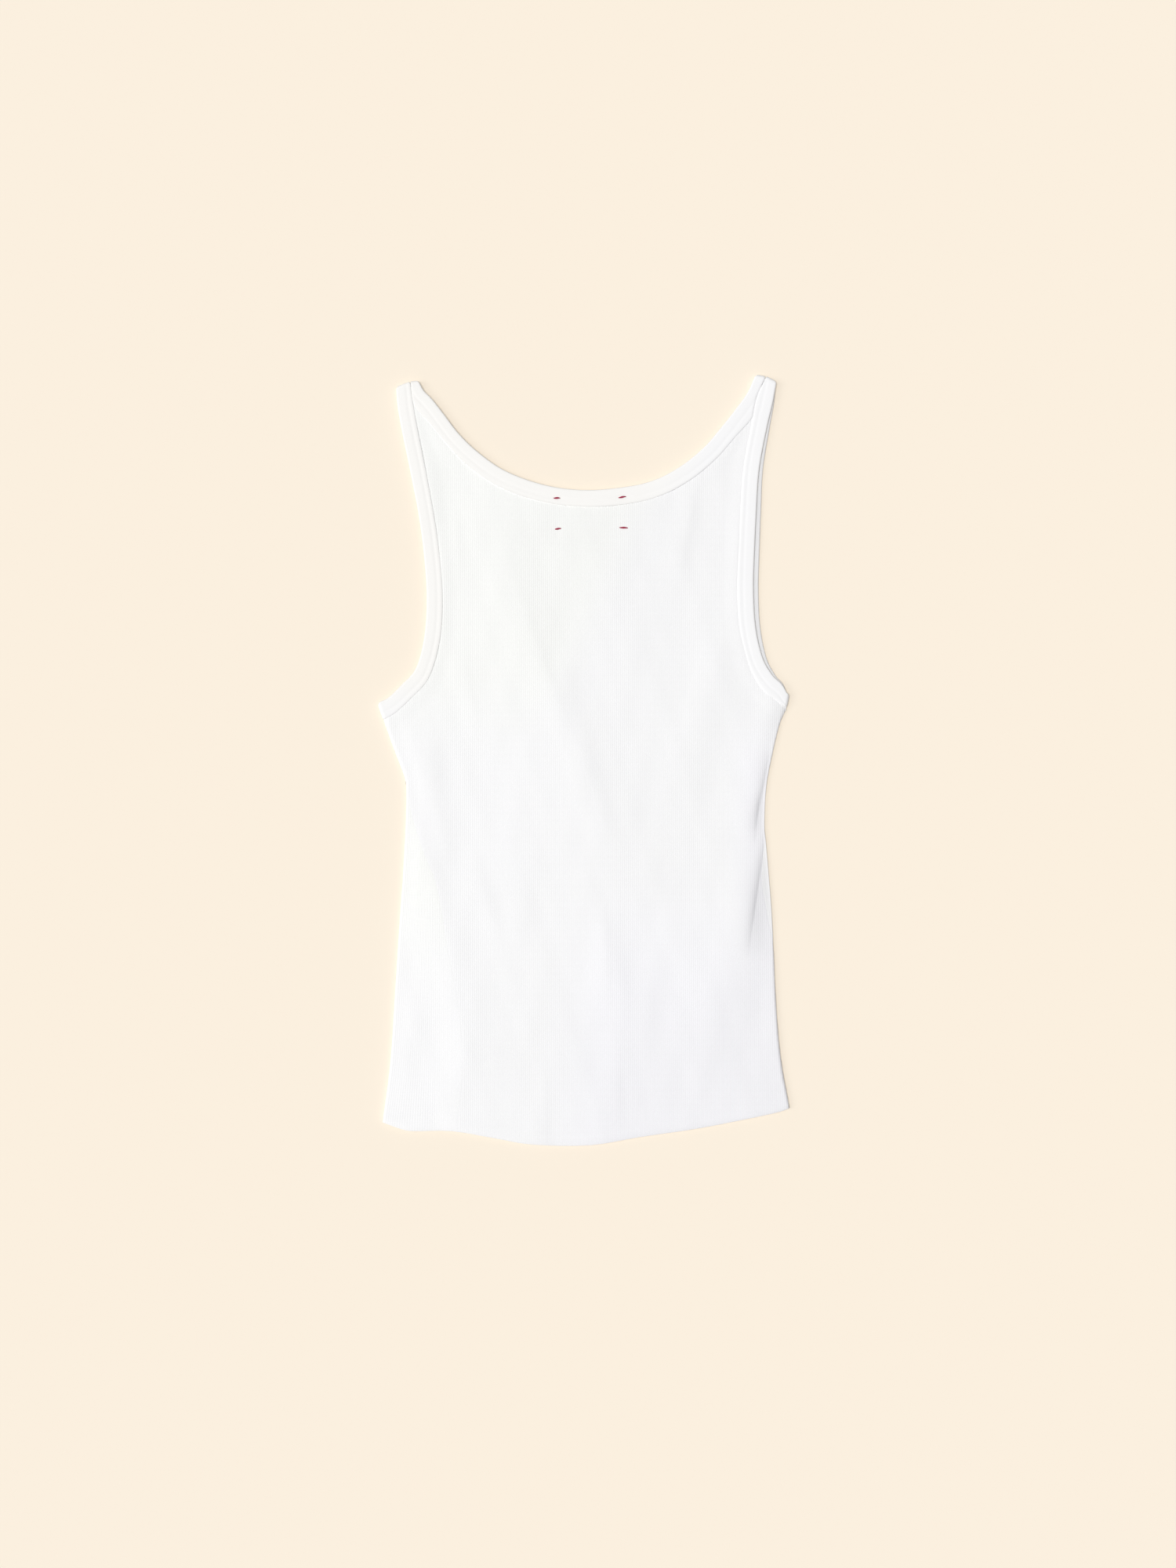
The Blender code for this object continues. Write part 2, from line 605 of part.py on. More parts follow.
def back_columns():
    """The back blank is ribbed from one side fold to the other and plain beyond."""
    ribs = 2 * round(BODY_HALF / RIB_PITCH)
    reach = BODY_HALF + BLANK_MARGIN
    return joined_columns(
        blank_columns(-reach, -BODY_HALF, TURN_STEP, 0.0),
        blank_columns(-BODY_HALF, BODY_HALF, BODY_HALF / ribs, RIB_HEIGHT),
        blank_columns(BODY_HALF, reach, TURN_STEP, 0.0),
    )


def front_columns():
    """The front blank is ribbed where it shows, beyond the side folds."""
    half = RIB_PITCH / 2
    edge = BODY_HALF + QUARTER
    inside = BODY_HALF - QUARTER
    flap = 2 * round(FLAP_MAX / RIB_PITCH) * half
    sliver = 2 * round(BLANK_MARGIN / half) * half
    return joined_columns(
        blank_columns(-edge - flap, -edge, half, RIB_HEIGHT),
        blank_columns(-edge, -inside, TURN_STEP, 0.0),
        blank_columns(-inside, inside, COARSE_STEP, 0.0),
        blank_columns(inside, edge, TURN_STEP, 0.0),
        blank_columns(edge, edge + sliver, half, RIB_HEIGHT),
    )


def build():
    """The whole garment."""
    for obj in list(bpy.data.objects):
        bpy.data.objects.remove(obj)
    garment = bpy.data.collections.new("rib_tank_top")
    cutters = bpy.data.collections.new("cutters")
    for collection in (garment, cutters):
        bpy.context.scene.collection.children.link(collection)

    left_back = armhole_rows(LEFT_ARMHOLE, 0.0)
    right_back = armhole_rows(RIGHT_ARMHOLE, 0.0)
    left_front = armhole_rows(LEFT_ARMHOLE, FRONT_SHIFT)
    right_front = armhole_rows(RIGHT_ARMHOLE, FRONT_SHIFT)
    neck_back = neck_rows(BACK_NECK, left_back, right_back)
    neck_front = neck_rows(FRONT_NECK, left_front, right_front)

    knit = material("rib_knit", KNIT_COLOUR)
    bound = material("binding_knit", BINDING_COLOUR)
    back_cut = panel_outline(neck_back, left_back, right_back, True)
    front_cut = panel_outline(neck_front, left_front, right_front, False)
    panels = (
        make_panel("back_panel", back_columns(), back_cut, True, garment, cutters),
        make_panel("front_panel", front_columns(), front_cut, False, garment, cutters),
    )
    bindings = (
        make_binding("neck_binding", binding_loop(neck_back, neck_front), garment),
        make_binding("left_armhole_binding", binding_loop(left_back, left_front[::-1]),
                     garment),
        make_binding("right_armhole_binding", binding_loop(right_back, right_front[::-1]),
                     garment),
    )
    for obj in panels:
        obj.data.materials.append(knit)
    for obj in bindings:
        obj.data.materials.append(bound)


build()
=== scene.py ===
"""A fine-rib cotton tank top, laid flat on its front with the back uppermost.

Each ribbed panel is a fine grid on its own flat blank, folded round the body's sides
in the same way as its solid.  Each binding is a folded band that runs in a closed
loop.  The seams, the folds of the cloth and the thread tacks are added to that form.

Frame: +Y runs to the neck, +X to the wearer's right, +Z up.  The floor is z = 0.
"""

import math
from collections import namedtuple

import bpy
import numpy as np
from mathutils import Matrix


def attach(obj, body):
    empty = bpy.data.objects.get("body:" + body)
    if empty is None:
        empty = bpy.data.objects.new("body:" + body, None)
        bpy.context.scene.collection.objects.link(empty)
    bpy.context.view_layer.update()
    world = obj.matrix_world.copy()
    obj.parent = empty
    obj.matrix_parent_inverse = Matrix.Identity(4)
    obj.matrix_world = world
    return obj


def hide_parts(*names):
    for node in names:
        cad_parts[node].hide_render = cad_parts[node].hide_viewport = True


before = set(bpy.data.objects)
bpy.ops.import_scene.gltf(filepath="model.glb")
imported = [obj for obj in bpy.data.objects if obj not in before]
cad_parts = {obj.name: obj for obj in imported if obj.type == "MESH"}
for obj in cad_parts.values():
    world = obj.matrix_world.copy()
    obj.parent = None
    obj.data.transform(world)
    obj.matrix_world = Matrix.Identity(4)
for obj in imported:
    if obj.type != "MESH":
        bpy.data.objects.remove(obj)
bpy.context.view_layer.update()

MM = 0.001

# ---- driving dimensions ----
WALL = 1.1 * MM                 # knit between the ribs
RIB_BASE = 0.10 * MM            # how far the grooves between the ribs stand proud of it
RIB_RELIEF = 0.14 * MM          # rib above the grooves
BINDING = 2.4 * MM              # folded binding, four layers of knit
SEAM_GAP = 0.3 * MM             # clearance between neighbouring pieces
BODY_HALF = 158.0 * MM          # nominal half width, where the blank turns under
BODY_RIBS = 206                 # ribs from one side fold to the other
SAG = 0.7 * MM                  # how far the upper layer sinks between its edges
SAG_TOP = 55.0 * MM             # it sinks below this height,
SAG_FADE = 60.0 * MM            # fully this much further down,
SAG_SIDE = 12.0 * MM            # from this far inside the folded edges
SAG_SLOPE = 30.0 * MM           # and fully this much further in
FOLD_INSET = 14.0 * MM          # soft folds fade out over this beside a folded edge
FRONT_HEM_RISE = 1.5 * MM       # the front hem lies just inside the back hem
FRONT_SHIFT = 4.0 * MM          # the front armholes lie this far to +X of the back's

RIB_PITCH = 2 * BODY_HALF / BODY_RIBS
FOLD_RADIUS = (BINDING + SEAM_GAP) / 2      # mid line of every half turn
PANEL_TURN = FOLD_RADIUS + WALL / 2         # outer radius of a folded panel
BINDING_TURN = FOLD_RADIUS + BINDING / 2    # outer radius of a folded binding
QUARTER = FOLD_RADIUS * math.pi / 2         # mid-line length of a quarter turn
HALF_GAP = SEAM_GAP / 2
FLAP_MAX = 64.0 * MM            # the widest that a panel reaches round a side
FLAP_MIDDLE = -148.5 * MM       # where the -X fold would lie if it ran straight
FLAP_EASE = 40.0 * MM           # from the fold, the flap's ribs straighten over this

# ---- seams ----
TUCK = 6.6 * MM                 # how far a panel runs on under a binding
STRAP_STOP = 3.0 * MM           # it ends this far below the top of its seam line
SIDE_TUCK = 0.35 * MM           # how far the panels run on into a side seam
SEAM_DIP = 0.18 * MM            # how deep a panel is drawn down at a seam,
LEFT_SEAM_DIP = 0.10 * MM       # less at the -X side seam, which lies open and flat,
SEAM_REACH = 0.8 * MM           # and over what distance
ALLOWANCE_LIFT = 0.62 * MM      # how far a binding's seam allowances lift the panel
ALLOWANCE_REACH = 12.0 * MM     # and over what distance
NECK_LIFT = 0.3                 # share of that lift along the neck,
NECK_HALF = 112.0 * MM          # which is full this far from the middle
NECK_EASE = 20.0 * MM           # and falls off inwards over this
CORNER = 1.6 * MM               # how far the corners of a folded binding are drawn in

# ---- fineness of the meshes ----
COLUMNS_PER_RIB = 4
OUTLINE_STEPS = 4               # points to one row of a side table or of the hem's
SPAN_STEPS = 8                  # stations to one row of a binding table
TURN_STATIONS = 10              # steps of a binding's half turn
HALVINGS = 48                   # steps of the search for a place on the blank
TINY = 1e-7                     # a shorter length counts as none
FAR = 1.0                       # further than the garment reaches

# The spacing of a panel's rows up to a height (mm).  Those of the back lie closest at
# the waist, where the creases are.
Band = namedtuple("Band", "top step")
BACK_BANDS = (Band(-250, 4.5), Band(-140, 5), Band(48, 3), Band(190, 5.5), Band(290, 4))
FRONT_BANDS = (Band(-250, 5), Band(30, 5), Band(110, 6), Band(290, 6))

# The cut edge of a hem: inset from the edge (mm), height on the wall from its mid
# line (-1 to 1), and share of the rib's height.
Lip = namedtuple("Lip", "inset level rib")
HEM_LIP = (
    Lip(inset=12.0, level=-1.0, rib=0.0), Lip(inset=0.5, level=-1.0, rib=0.0),
    Lip(inset=0.1, level=-0.6, rib=0.0), Lip(inset=0.0, level=0.0, rib=0.2),
    Lip(inset=0.1, level=0.6, rib=0.6), Lip(inset=0.5, level=1.0, rib=0.9),
)

# ---- tables, all in millimetres ----
# A side: the folded edge x at height y, and how far the side seam lies from that
# edge along the cloth, positive on the upper face and negative underneath.
Side = namedtuple("Side", "y x seam")
LEFT_SIDE = (
    Side(31, -155.6, 0), Side(8, -147.3, 0),
    Side(-11, -140, 0.2), Side(-22, -137.8, 0.6),
    Side(-48, -138.2, 6.5), Side(-72, -139.4, 15.5),
    Side(-94, -140.7, 26), Side(-115, -142.3, 32),
    Side(-150, -144.6, 40.2), Side(-184, -146.7, 49.2),
    Side(-236, -150.3, 57.3), Side(-282, -156.3, 59),
)
RIGHT_SIDE = (
    Side(41, 158.4, 0), Side(29, 152.9, 0),
    Side(7, 147.4, 0), Side(-20, 142.2, 0),
    Side(-49, 140.7, 0.3), Side(-63, 141.8, 1.4),
    Side(-78, 143.1, 4), Side(-95, 144.5, 6),
    Side(-117, 146.2, 3.9), Side(-147, 147.8, 0),
    Side(-192, 149.9, -2.5), Side(-232, 153.5, -3.5),
    Side(-270, 160.2, -4),
)

# The hem of the upper layer, from the left fold to the right.
Hem = namedtuple("Hem", "x y")
HEM = (
    Hem(-156.5, -281.4), Hem(-141, -287), Hem(-131, -288.4),
    Hem(-102, -288.4), Hem(-68, -294.2), Hem(-38.6, -299),
    Hem(5, -299.4), Hem(44, -293), Hem(93, -285.7),
    Hem(147, -274.7), Hem(160.4, -270.4),
)

# A binding: its free edge and its seam line, row by row along it.
Row = namedtuple("Row", "edge_x edge_y seam_x seam_y")
LEFT_ARMHOLE = (
    Row(-146.5, 290, -135.4, 294.6), Row(-144.6, 275.5, -132.1, 276.5),
    Row(-141.2, 256, -128.6, 256.5), Row(-135, 226, -122.6, 226.5),
    Row(-128.3, 191.4, -116, 190.5), Row(-124.2, 161, -111.8, 160.5),
    Row(-121.9, 128, -109.4, 128.5), Row(-123.5, 97.5, -111.2, 94.5),
    Row(-130.1, 71.8, -119.8, 64.5), Row(-142, 58, -134, 48),
    Row(-151.5, 48.8, -146, 36.8), Row(-160.6, 44.5, -156, 31.5),
)
RIGHT_ARMHOLE = (
    Row(150.9, 294.2, 142.2, 298.6), Row(147, 277, 134.3, 281),
    Row(142.6, 258.2, 130.3, 259), Row(136.6, 226, 124.4, 226),
    Row(134.4, 193, 122, 192.5), Row(132.7, 156, 120.2, 155.5),
    Row(132.2, 132, 119.7, 131.5), Row(133.8, 104, 121.6, 101.5),
    Row(139.2, 80, 128.8, 73.5), Row(147, 66.2, 139.3, 54.6),
    Row(154, 59.4, 149, 47.2), Row(160.5, 52, 158.4, 41.2),
)
BACK_NECK = (
    Row(-127.4, 295.4, -135.4, 294.6), Row(-123.8, 287, -132.9, 281),
    Row(-117.2, 280.2, -129, 272), Row(-108, 268.4, -119, 261),
    Row(-96.6, 253.6, -106.9, 246.4), Row(-81.3, 239, -89.7, 228.8),
    Row(-60, 224.6, -66.6, 212.9), Row(-30, 213.9, -33.4, 201),
    Row(0.4, 210, 1, 196.8), Row(31, 212.2, 34.5, 199),
    Row(54.1, 217.4, 60, 205.4), Row(74.8, 228, 83.4, 217.8),
    Row(93.1, 242.6, 103.2, 234.2), Row(106.5, 258, 117.8, 250.8),
    Row(117.8, 272.2, 131.6, 267), Row(127, 285, 134.8, 282.5),
    Row(133.4, 300.2, 142.2, 298.6),
)
FRONT_NECK = (
    Row(133.4, 300.2, 142.2, 298.6), Row(129.5, 289, 139.5, 287),
    Row(126, 280, 137, 277), Row(117.5, 262, 129, 256.5),
    Row(103, 228, 115.2, 222.6), Row(91, 198, 103.3, 193),
    Row(76, 162, 87.6, 155.6), Row(58, 134, 66.5, 123.8),
    Row(35, 117.5, 39.5, 105), Row(11, 112, 11, 98.6),
    Row(-13, 117.5, -17.5, 105), Row(-36, 134, -44.5, 123.8),
    Row(-54, 162, -65.6, 155.6), Row(-70, 198, -82.3, 193),
    Row(-86, 230, -98, 224.4), Row(-103, 258, -114.2, 251),
    Row(-117, 279, -128, 272.6), Row(-124.6, 287.3, -134.5, 284),
    Row(-127.4, 295.4, -135.4, 294.6),
)

# Folds of the upper layer: a ridge along a line, its height, and how far it runs out
# to the -X and the +X side of the line.  A negative height is a trough.
Fold = namedtuple("Fold", "x0 y0 x1 y1 height west east")
SOFT_FOLDS = (
    Fold(-80, 206, -14, 20, height=0.95, west=30, east=13),
    Fold(-24, 78, 26, -88, height=1.4, west=26, east=11),
    Fold(-128, 44, -106, -86, height=0.85, west=14, east=10),
    Fold(-88, -70, -68, -140, height=0.75, west=16, east=9),
    Fold(112, 120, 62, -40, height=1.0, west=14, east=18),
    Fold(20, -104, 32, -250, height=0.8, west=16, east=10),
    Fold(134, -96, 84, -262, height=1.35, west=34, east=16),
    Fold(146, -150, 122, -262, height=-0.45, west=14, east=12),
    Fold(-112, -150, -92, -270, height=0.25, west=12, east=14),
    Fold(52, -140, 46, -232, height=0.6, west=12, east=9),
)
FINE_FOLDS = (
    Fold(-54, 134, 6, -22, height=0.3, west=12, east=5),
    Fold(-96, 94, -84, 20, height=0.3, west=9, east=5),
    Fold(88, 226, 72, 140, height=0.7, west=12, east=6),
    Fold(122, 134, 80, -6, height=0.3, west=8, east=20),
    Fold(92, 112, 70, 10, height=-0.35, west=10, east=6),
    Fold(-55, -36, -49, -136, height=0.5, west=11, east=14),
    Fold(14, -96, 18, -196, height=0.35, west=10, east=5),
    Fold(-34, -226, -30, -306, height=0.35, west=14, east=5),
    Fold(24, -214, 27, -300, height=0.3, west=9, east=5),
    Fold(104, -214, 76, -292, height=0.3, west=12, east=9),
    Fold(140, -70, 104, -290, height=-0.4, west=14, east=34),
    Fold(-105, 262, -97, 190, height=-0.45, west=10, east=24),
    Fold(-104, 262, -92, 232, height=-0.3, west=4, east=4),
    Fold(-100, 196, -97, 138, height=0.3, west=8, east=5),
)
# Creases beside the +X folded edge, where the cloth rolls down to the +X side into a
# slit and the strip beyond lies low.  They reach closer to the edge than the folds do.
EDGE_FOLDS = (
    Fold(167, 72, 140, -18, height=-1.1, west=6.5, east=12),
    Fold(143, -14, 134, -112, height=-0.6, west=11, east=7),
)
EDGE_CREASES = (
    Fold(146, 10, 133, -56, height=-1.9, west=2.8, east=20),
    Fold(137.5, -24, 133.2, -66, height=-1.0, west=2.6, east=20),
    Fold(144.5, -42, 127.5, -155, height=-2.6, west=3.9, east=22),
    Fold(150, -112, 134, -208, height=-0.45, west=14, east=16),
)
CREASE_SHADE = 0.75             # how much painted shade the cloth gets, for each mm of their depth

# The allowances of the -X side seam lie under it and lift it, from its top down.
SEAM_RIDGE = 0.8 * MM
SEAM_RIDGE_WEST = 20.0 * MM
SEAM_RIDGE_EAST = 21.0 * MM
SEAM_RIDGE_TOP = -30.0 * MM
SEAM_RIDGE_FADE = 60.0 * MM

# The red thread tacks: their middle, length and turn in degrees, and how much of the
# thread stands above the knit, as a share of its radius.
Tack = namedtuple("Tack", "x y length turn proud")
TACKS = (
    Tack(x=-20.7, y=203.6, length=5.2, turn=-1, proud=0.30),
    Tack(x=30.1, y=204.3, length=5.9, turn=8, proud=0.75),
    Tack(x=-19.7, y=179.8, length=5.9, turn=5, proud=0.60),
    Tack(x=31.4, y=180.6, length=8.0, turn=-4, proud=0.80),
)
BAND_TACKS = 195                # a tack above this height stands on the neck's binding
PUCKER_DEPTH = 0.35 * MM        # how far a tack draws the cloth down,
PUCKER_REACH = 1.9 * MM         # over what distance,
PUCKER_STRETCH = 1.6            # and how much further sideways


# ---- curves ----
def table(rows):
    """The rows of a table as an array in metres."""
    return np.array(rows, dtype=float) * MM


def smooth_path(points, steps):
    """A Catmull-Rom curve through points, with the given steps to each span."""
    ends = (2 * points[0] - points[1], 2 * points[-1] - points[-2])
    knots = np.vstack([ends[0], points, ends[1]])
    path = []
    for k in range(1, len(knots) - 2):
        before, here, there, after = knots[k - 1:k + 3]
        for t in np.arange(steps) / steps:
            path.append(0.5 * (2 * here + (there - before) * t
                               + (2 * before - 5 * here + 4 * there - after) * t ** 2
                               + (3 * here - before - 3 * there + after) * t ** 3))
    path.append(points[-1])
    return np.array(path)


def smoothstep(value):
    """0 below 0, 1 above 1 and an even S between."""
    t = np.clip(value, 0.0, 1.0)
    return t * t * (3 - 2 * t)


def side_profile(side):
    """The smoothed table of one side, from the hem up."""
    return smooth_path(table(side)[::-1], OUTLINE_STEPS)


LEFT_PROFILE = side_profile(LEFT_SIDE)
RIGHT_PROFILE = side_profile(RIGHT_SIDE)
HEM_PATH = smooth_path(table(HEM), OUTLINE_STEPS)


def fold_x(y, sign):
    """The folded edge at height y, on the -X side (sign -1) or the +X side (+1)."""
    profile = LEFT_PROFILE if sign < 0 else RIGHT_PROFILE
    return np.interp(y, profile[:, 0], profile[:, 1])


def seam_offset(y, sign):
    """How far the side seam lies from the folded edge, positive on the upper face."""
    profile = LEFT_PROFILE if sign < 0 else RIGHT_PROFILE
    return np.interp(y, profile[:, 0], profile[:, 2])


def hem_y(x):
    """The hem's height at x."""
    return np.interp(x, HEM_PATH[:, 0], HEM_PATH[:, 1])


# ---- from the flat blank to the folded panel ----
# A blank's ribs run along y at a constant v.  The back panel's run straight down, and
# its sides cut across them.  The front panel's follow its side folds, which lie at
# v = -BODY_HALF and +BODY_HALF, and straighten again on the flap.
def turn_line(y, sign):
    """Where the middle of the side fold lies when the cloth is opened out flat."""
    return fold_x(y, sign) + sign * (QUARTER - PANEL_TURN)


def opened_x(v, y):
    """The opened-out x of the blank's v at height y."""
    sign = np.where(v < 0, -1.0, 1.0)
    edge = np.where(v < 0, turn_line(y, -1), turn_line(y, 1))
    inside = v + (edge - sign * BODY_HALF) * np.abs(v / BODY_HALF) ** 3
    beyond = np.maximum(-BODY_HALF - v, 0.0)
    outside = edge + (v - sign * BODY_HALF) + (edge - FLAP_MIDDLE) * smoothstep(beyond / FLAP_EASE)
    return np.where(np.abs(v) <= BODY_HALF, inside, outside)


def blank_v(x, y, upper):
    """The blank's v at an opened-out x, found by halving."""
    if upper:
        return x
    low = np.full_like(x, -BODY_HALF - FLAP_MAX)
    high = np.full_like(x, BODY_HALF + FLAP_MAX)
    for _ in range(HALVINGS):
        middle = (low + high) / 2
        below = opened_x(middle, y) < x
        low = np.where(below, middle, low)
        high = np.where(below, high, middle)
    return (low + high) / 2


def round_side(s, n):
    """Distance in from the folded edge, and height, at a place s along the cloth
    from the middle of the fold (positive upwards) and n out from its mid line."""
    angle = np.clip(s, -QUARTER, QUARTER) / FOLD_RADIUS
    flat = np.maximum(np.abs(s) - QUARTER, 0.0)
    inset = PANEL_TURN - (FOLD_RADIUS + n) * np.cos(angle) + flat
    height = PANEL_TURN + (FOLD_RADIUS + n) * np.sin(angle)
    return inset, height


def round_fold(share):
    """The section of a soft fold, from 1 on its line to 0 well off it."""
    return np.exp(-share ** 2)


def rolled_crease(share):
    """The section of a crease that steepens all the way to its line on the -X side."""
    return np.where(share < 0, np.exp(share), np.exp(-share ** 2))


def folds_rise(x, y, folds, section=round_fold):
    """The height of a table of folds at a place."""
    rise = np.zeros_like(x)
    for fold in folds:
        x0, y0, x1, y1, height, west, east = np.array(fold) * MM
        length = math.hypot(x1 - x0, y1 - y0)
        along = ((x - x0) * (x1 - x0) + (y - y0) * (y1 - y0)) / length
        # the folds all run downwards, so east of one is to the left of its way
        across = ((x - x0) * (y0 - y1) + (y - y0) * (x1 - x0)) / length
        reach = np.where(across > 0, east, west)
        fade = np.sin(np.pi * np.clip(along / length, 0.0, 1.0))
        rise = rise + height * fade * section(across / reach)
    return rise


# Slow waves that keep the cloth from lying dead flat: wavelength along x and y (mm),
# height and a start.
Wave = namedtuple("Wave", "x y height start")
WAVES = (
    Wave(x=61, y=143, height=0.10, start=0.4), Wave(x=-43, y=97, height=0.07, start=2.1),
    Wave(x=29, y=71, height=0.04, start=4.0), Wave(x=-23, y=118, height=0.035, start=1.2),
    Wave(x=17, y=53, height=0.02, start=5.1), Wave(x=113, y=-67, height=0.06, start=3.3),
)


def waves_rise(x, y):
    """The height of the slow waves at a place."""
    rise = np.zeros_like(x)
    for wave in WAVES:
        phase = 2 * np.pi * (x / (wave.x * MM) + y / (wave.y * MM)) + wave.start
        rise = rise + wave.height * MM * np.sin(phase)
    return rise


def tack_pucker(x, y):
    """How far the cloth is drawn down round the thread tacks."""
    dip = np.zeros_like(x)
    for tack in TACKS:
        far = np.hypot((x - tack.x * MM) / PUCKER_STRETCH, y - tack.y * MM)
        dip = dip - PUCKER_DEPTH * np.exp(-(far / PUCKER_REACH) ** 2)
    return dip


def seam_ridge(x, y):
    """The height of the cloth over the -X side seam."""
    across = x - fold_x(y, -1) - seam_offset(y, -1)
    reach = np.where(across > 0, SEAM_RIDGE_EAST, SEAM_RIDGE_WEST)
    fade = smoothstep((SEAM_RIDGE_TOP - y) / SEAM_RIDGE_FADE)
    return SEAM_RIDGE * fade * np.exp(-(across / reach) ** 2)


def drape(x, y):
    """How far the upper layer rises or sinks at a place, from its sag and folds."""
    inset = np.minimum(x - fold_x(y, -1), fold_x(y, 1) - x)
    sag = SAG * smoothstep((SAG_TOP - y) / SAG_FADE) * smoothstep((inset - SAG_SIDE) / SAG_SLOPE)
    rise = folds_rise(x, y, SOFT_FOLDS + FINE_FOLDS) + waves_rise(x, y) + seam_ridge(x, y) - sag
    edge = folds_rise(x, y, EDGE_FOLDS) + folds_rise(x, y, EDGE_CREASES, rolled_crease)
    return rise * smoothstep(inset / FOLD_INSET) + edge + tack_pucker(x, y)


def fold_height(v, y, upper):
    """How far up round the side fold a place lies, from the fold's middle."""
    opened = v if upper else opened_x(v, y)
    inward = np.where(v < 0, opened - turn_line(y, -1), turn_line(y, 1) - opened)
    return inward if upper else -inward


def fold_panel(v, y, n, upper):
    """Blank points in their place on the garment.  The back panel lies on top and
    turns down at the sides, and the front panel lies below and turns up."""
    s = fold_height(v, y, upper)
    inset, z = round_side(s, n)
    x = np.where(v < 0, fold_x(y, -1) + inset, fold_x(y, 1) - inset)
    z = z + drape(x, y) * smoothstep(s / QUARTER)
    return np.stack([x, y, z], axis=-1)


# ---- bindings: flat rows above and below, joined by half turns ----
def turn_direction(end, neighbour):
    """The way out of the garment, square to the folded end of a binding."""
    across = end[2:] - end[:2]
    out = np.array([-across[1], across[0]]) / np.hypot(*across)
    return out if out @ (end[:2] - neighbour[:2]) > 0 else -out


def pulled_in(rows):
    """A binding table whose two end rows lie on the axes of their half turns."""
    rows = rows.copy()
    for end, neighbour in ((0, 1), (-1, -2)):
        out = turn_direction(rows[end], rows[neighbour])
        rows[end] -= np.tile(out * BINDING_TURN, 2)
    return rows


def armhole_rows(binding, shift):
    """The smoothed rows of one layer of an armhole, moved sideways in the middle."""
    rows = smooth_path(pulled_in(table(binding)), SPAN_STEPS)
    sway = shift * np.sin(np.pi * np.linspace(0, 1, len(rows)))
    rows[:, 0] += sway
    rows[:, 2] += sway
    return rows


def neck_rows(binding, left, right):
    """The smoothed rows of one layer of the neck, kept clear of the armholes."""
    rows = smooth_path(pulled_in(table(binding)), SPAN_STEPS)
    x, y = rows[:, 2], rows[:, 3]
    beside_left = np.interp(y, left[::-1, 3], left[::-1, 2])
    beside_right = np.interp(y, right[::-1, 3], right[::-1, 2])
    rows[:, 2] = np.where(x < 0, np.maximum(x, beside_left), np.minimum(x, beside_right))
    return rows


# A place along a binding's loop: its free edge and its seam in plan, the way that its
# outer face looks, and how far it is lifted.
Station = namedtuple("Station", "edge seam facing rise")
BAND_FOLLOW = 0.6               # share of the soft folds that the upper bindings follow


def lying(rows, up):
    """Stations of rows that lie flat, facing up or down."""
    facing = np.array([0.0, 0.0, 1.0 if up else -1.0])
    rise = np.zeros(len(rows))
    if up:
        middle = (rows[:, :2] + rows[:, 2:]) / 2
        ends = np.sin(np.pi * np.linspace(0, 1, len(rows))) ** 0.5
        rise = ends * BAND_FOLLOW * folds_rise(middle[:, 0], middle[:, 1], SOFT_FOLDS)
    return [Station(row[:2], row[2:], facing, lift) for row, lift in zip(rows, rise)]


def half_turn(row, neighbour, downwards):
    """Stations round one half turn at the end of a layer, its free edge drawn in."""
    out = turn_direction(row, neighbour)
    across = (row[2:] - row[:2]) / np.hypot(*(row[2:] - row[:2]))
    stations = []
    for k in range(1, TURN_STATIONS):
        angle = math.pi / 2 - math.pi * k / TURN_STATIONS
        angle = angle if downwards else -angle
        facing = np.array([*(out * math.cos(angle)), math.sin(angle)])
        edge = row[:2] + across * CORNER * math.cos(angle) ** 2
        stations.append(Station(edge, row[2:], facing, 0.0))
    return stations


def binding_loop(upper, lower):
    """Stations of a closed binding: over the top, round, back below and round."""
    return (lying(upper, True) + half_turn(upper[-1], upper[-2], True)
            + lying(lower, False) + half_turn(upper[0], upper[1], False))


# The outer face of a band, from its free edge: a rolled edge, an even crown, a soft
# valley, a full ridge and a fall to the seam.  Where a neighbour narrows the band, it
# is the seam side that is lost.
BAND_WIDTH = 12.5 * MM
EDGE_ROLL = 1.1 * MM            # how wide the rolled edge is,
ROLL_SHARE = 0.93               # and how much of the band's thickness it takes up
CROWN_FALL = 0.10               # share of the half thickness lost half a width away
CROWN_PLACE = 0.9               # from here, in half widths from the free edge
VALLEY_PLACE = 8.4 * MM
VALLEY_DEPTH = 0.16 * MM
VALLEY_REACH = 1.2 * MM
SEAM_FALL = 1.5 * MM            # the fall's width
SEAM_DROP = 0.26 * MM           # and its depth
SEAM_BEVEL = 0.5 * MM           # the inner corner at the seam is cut off by this
ROLL_POINTS = 6
FACE_POINTS = 22
FACE_CROWDING = 1.25            # above 1, the points lie closer towards the seam
NECK_SHADE = 0.055              # how much painted shade the neck's binding gets at its seam,
SHADE_REACH = 0.9 * MM          # over this distance
CHART_STEP = 0.8 * MM           # from point to point round a band, on its flat map


def band_face(a, width):
    """The height of a band's outer face at a distance from its free edge."""
    crown = BINDING / 2 * (1 - CROWN_FALL * (2 * a / BAND_WIDTH - CROWN_PLACE) ** 2)
    valley = VALLEY_DEPTH * np.exp(-((a - VALLEY_PLACE) / VALLEY_REACH) ** 2)
    fall = np.clip((a - width + SEAM_FALL) / SEAM_FALL, 0.0, 1.0)
    return crown - valley - SEAM_DROP * fall ** 2


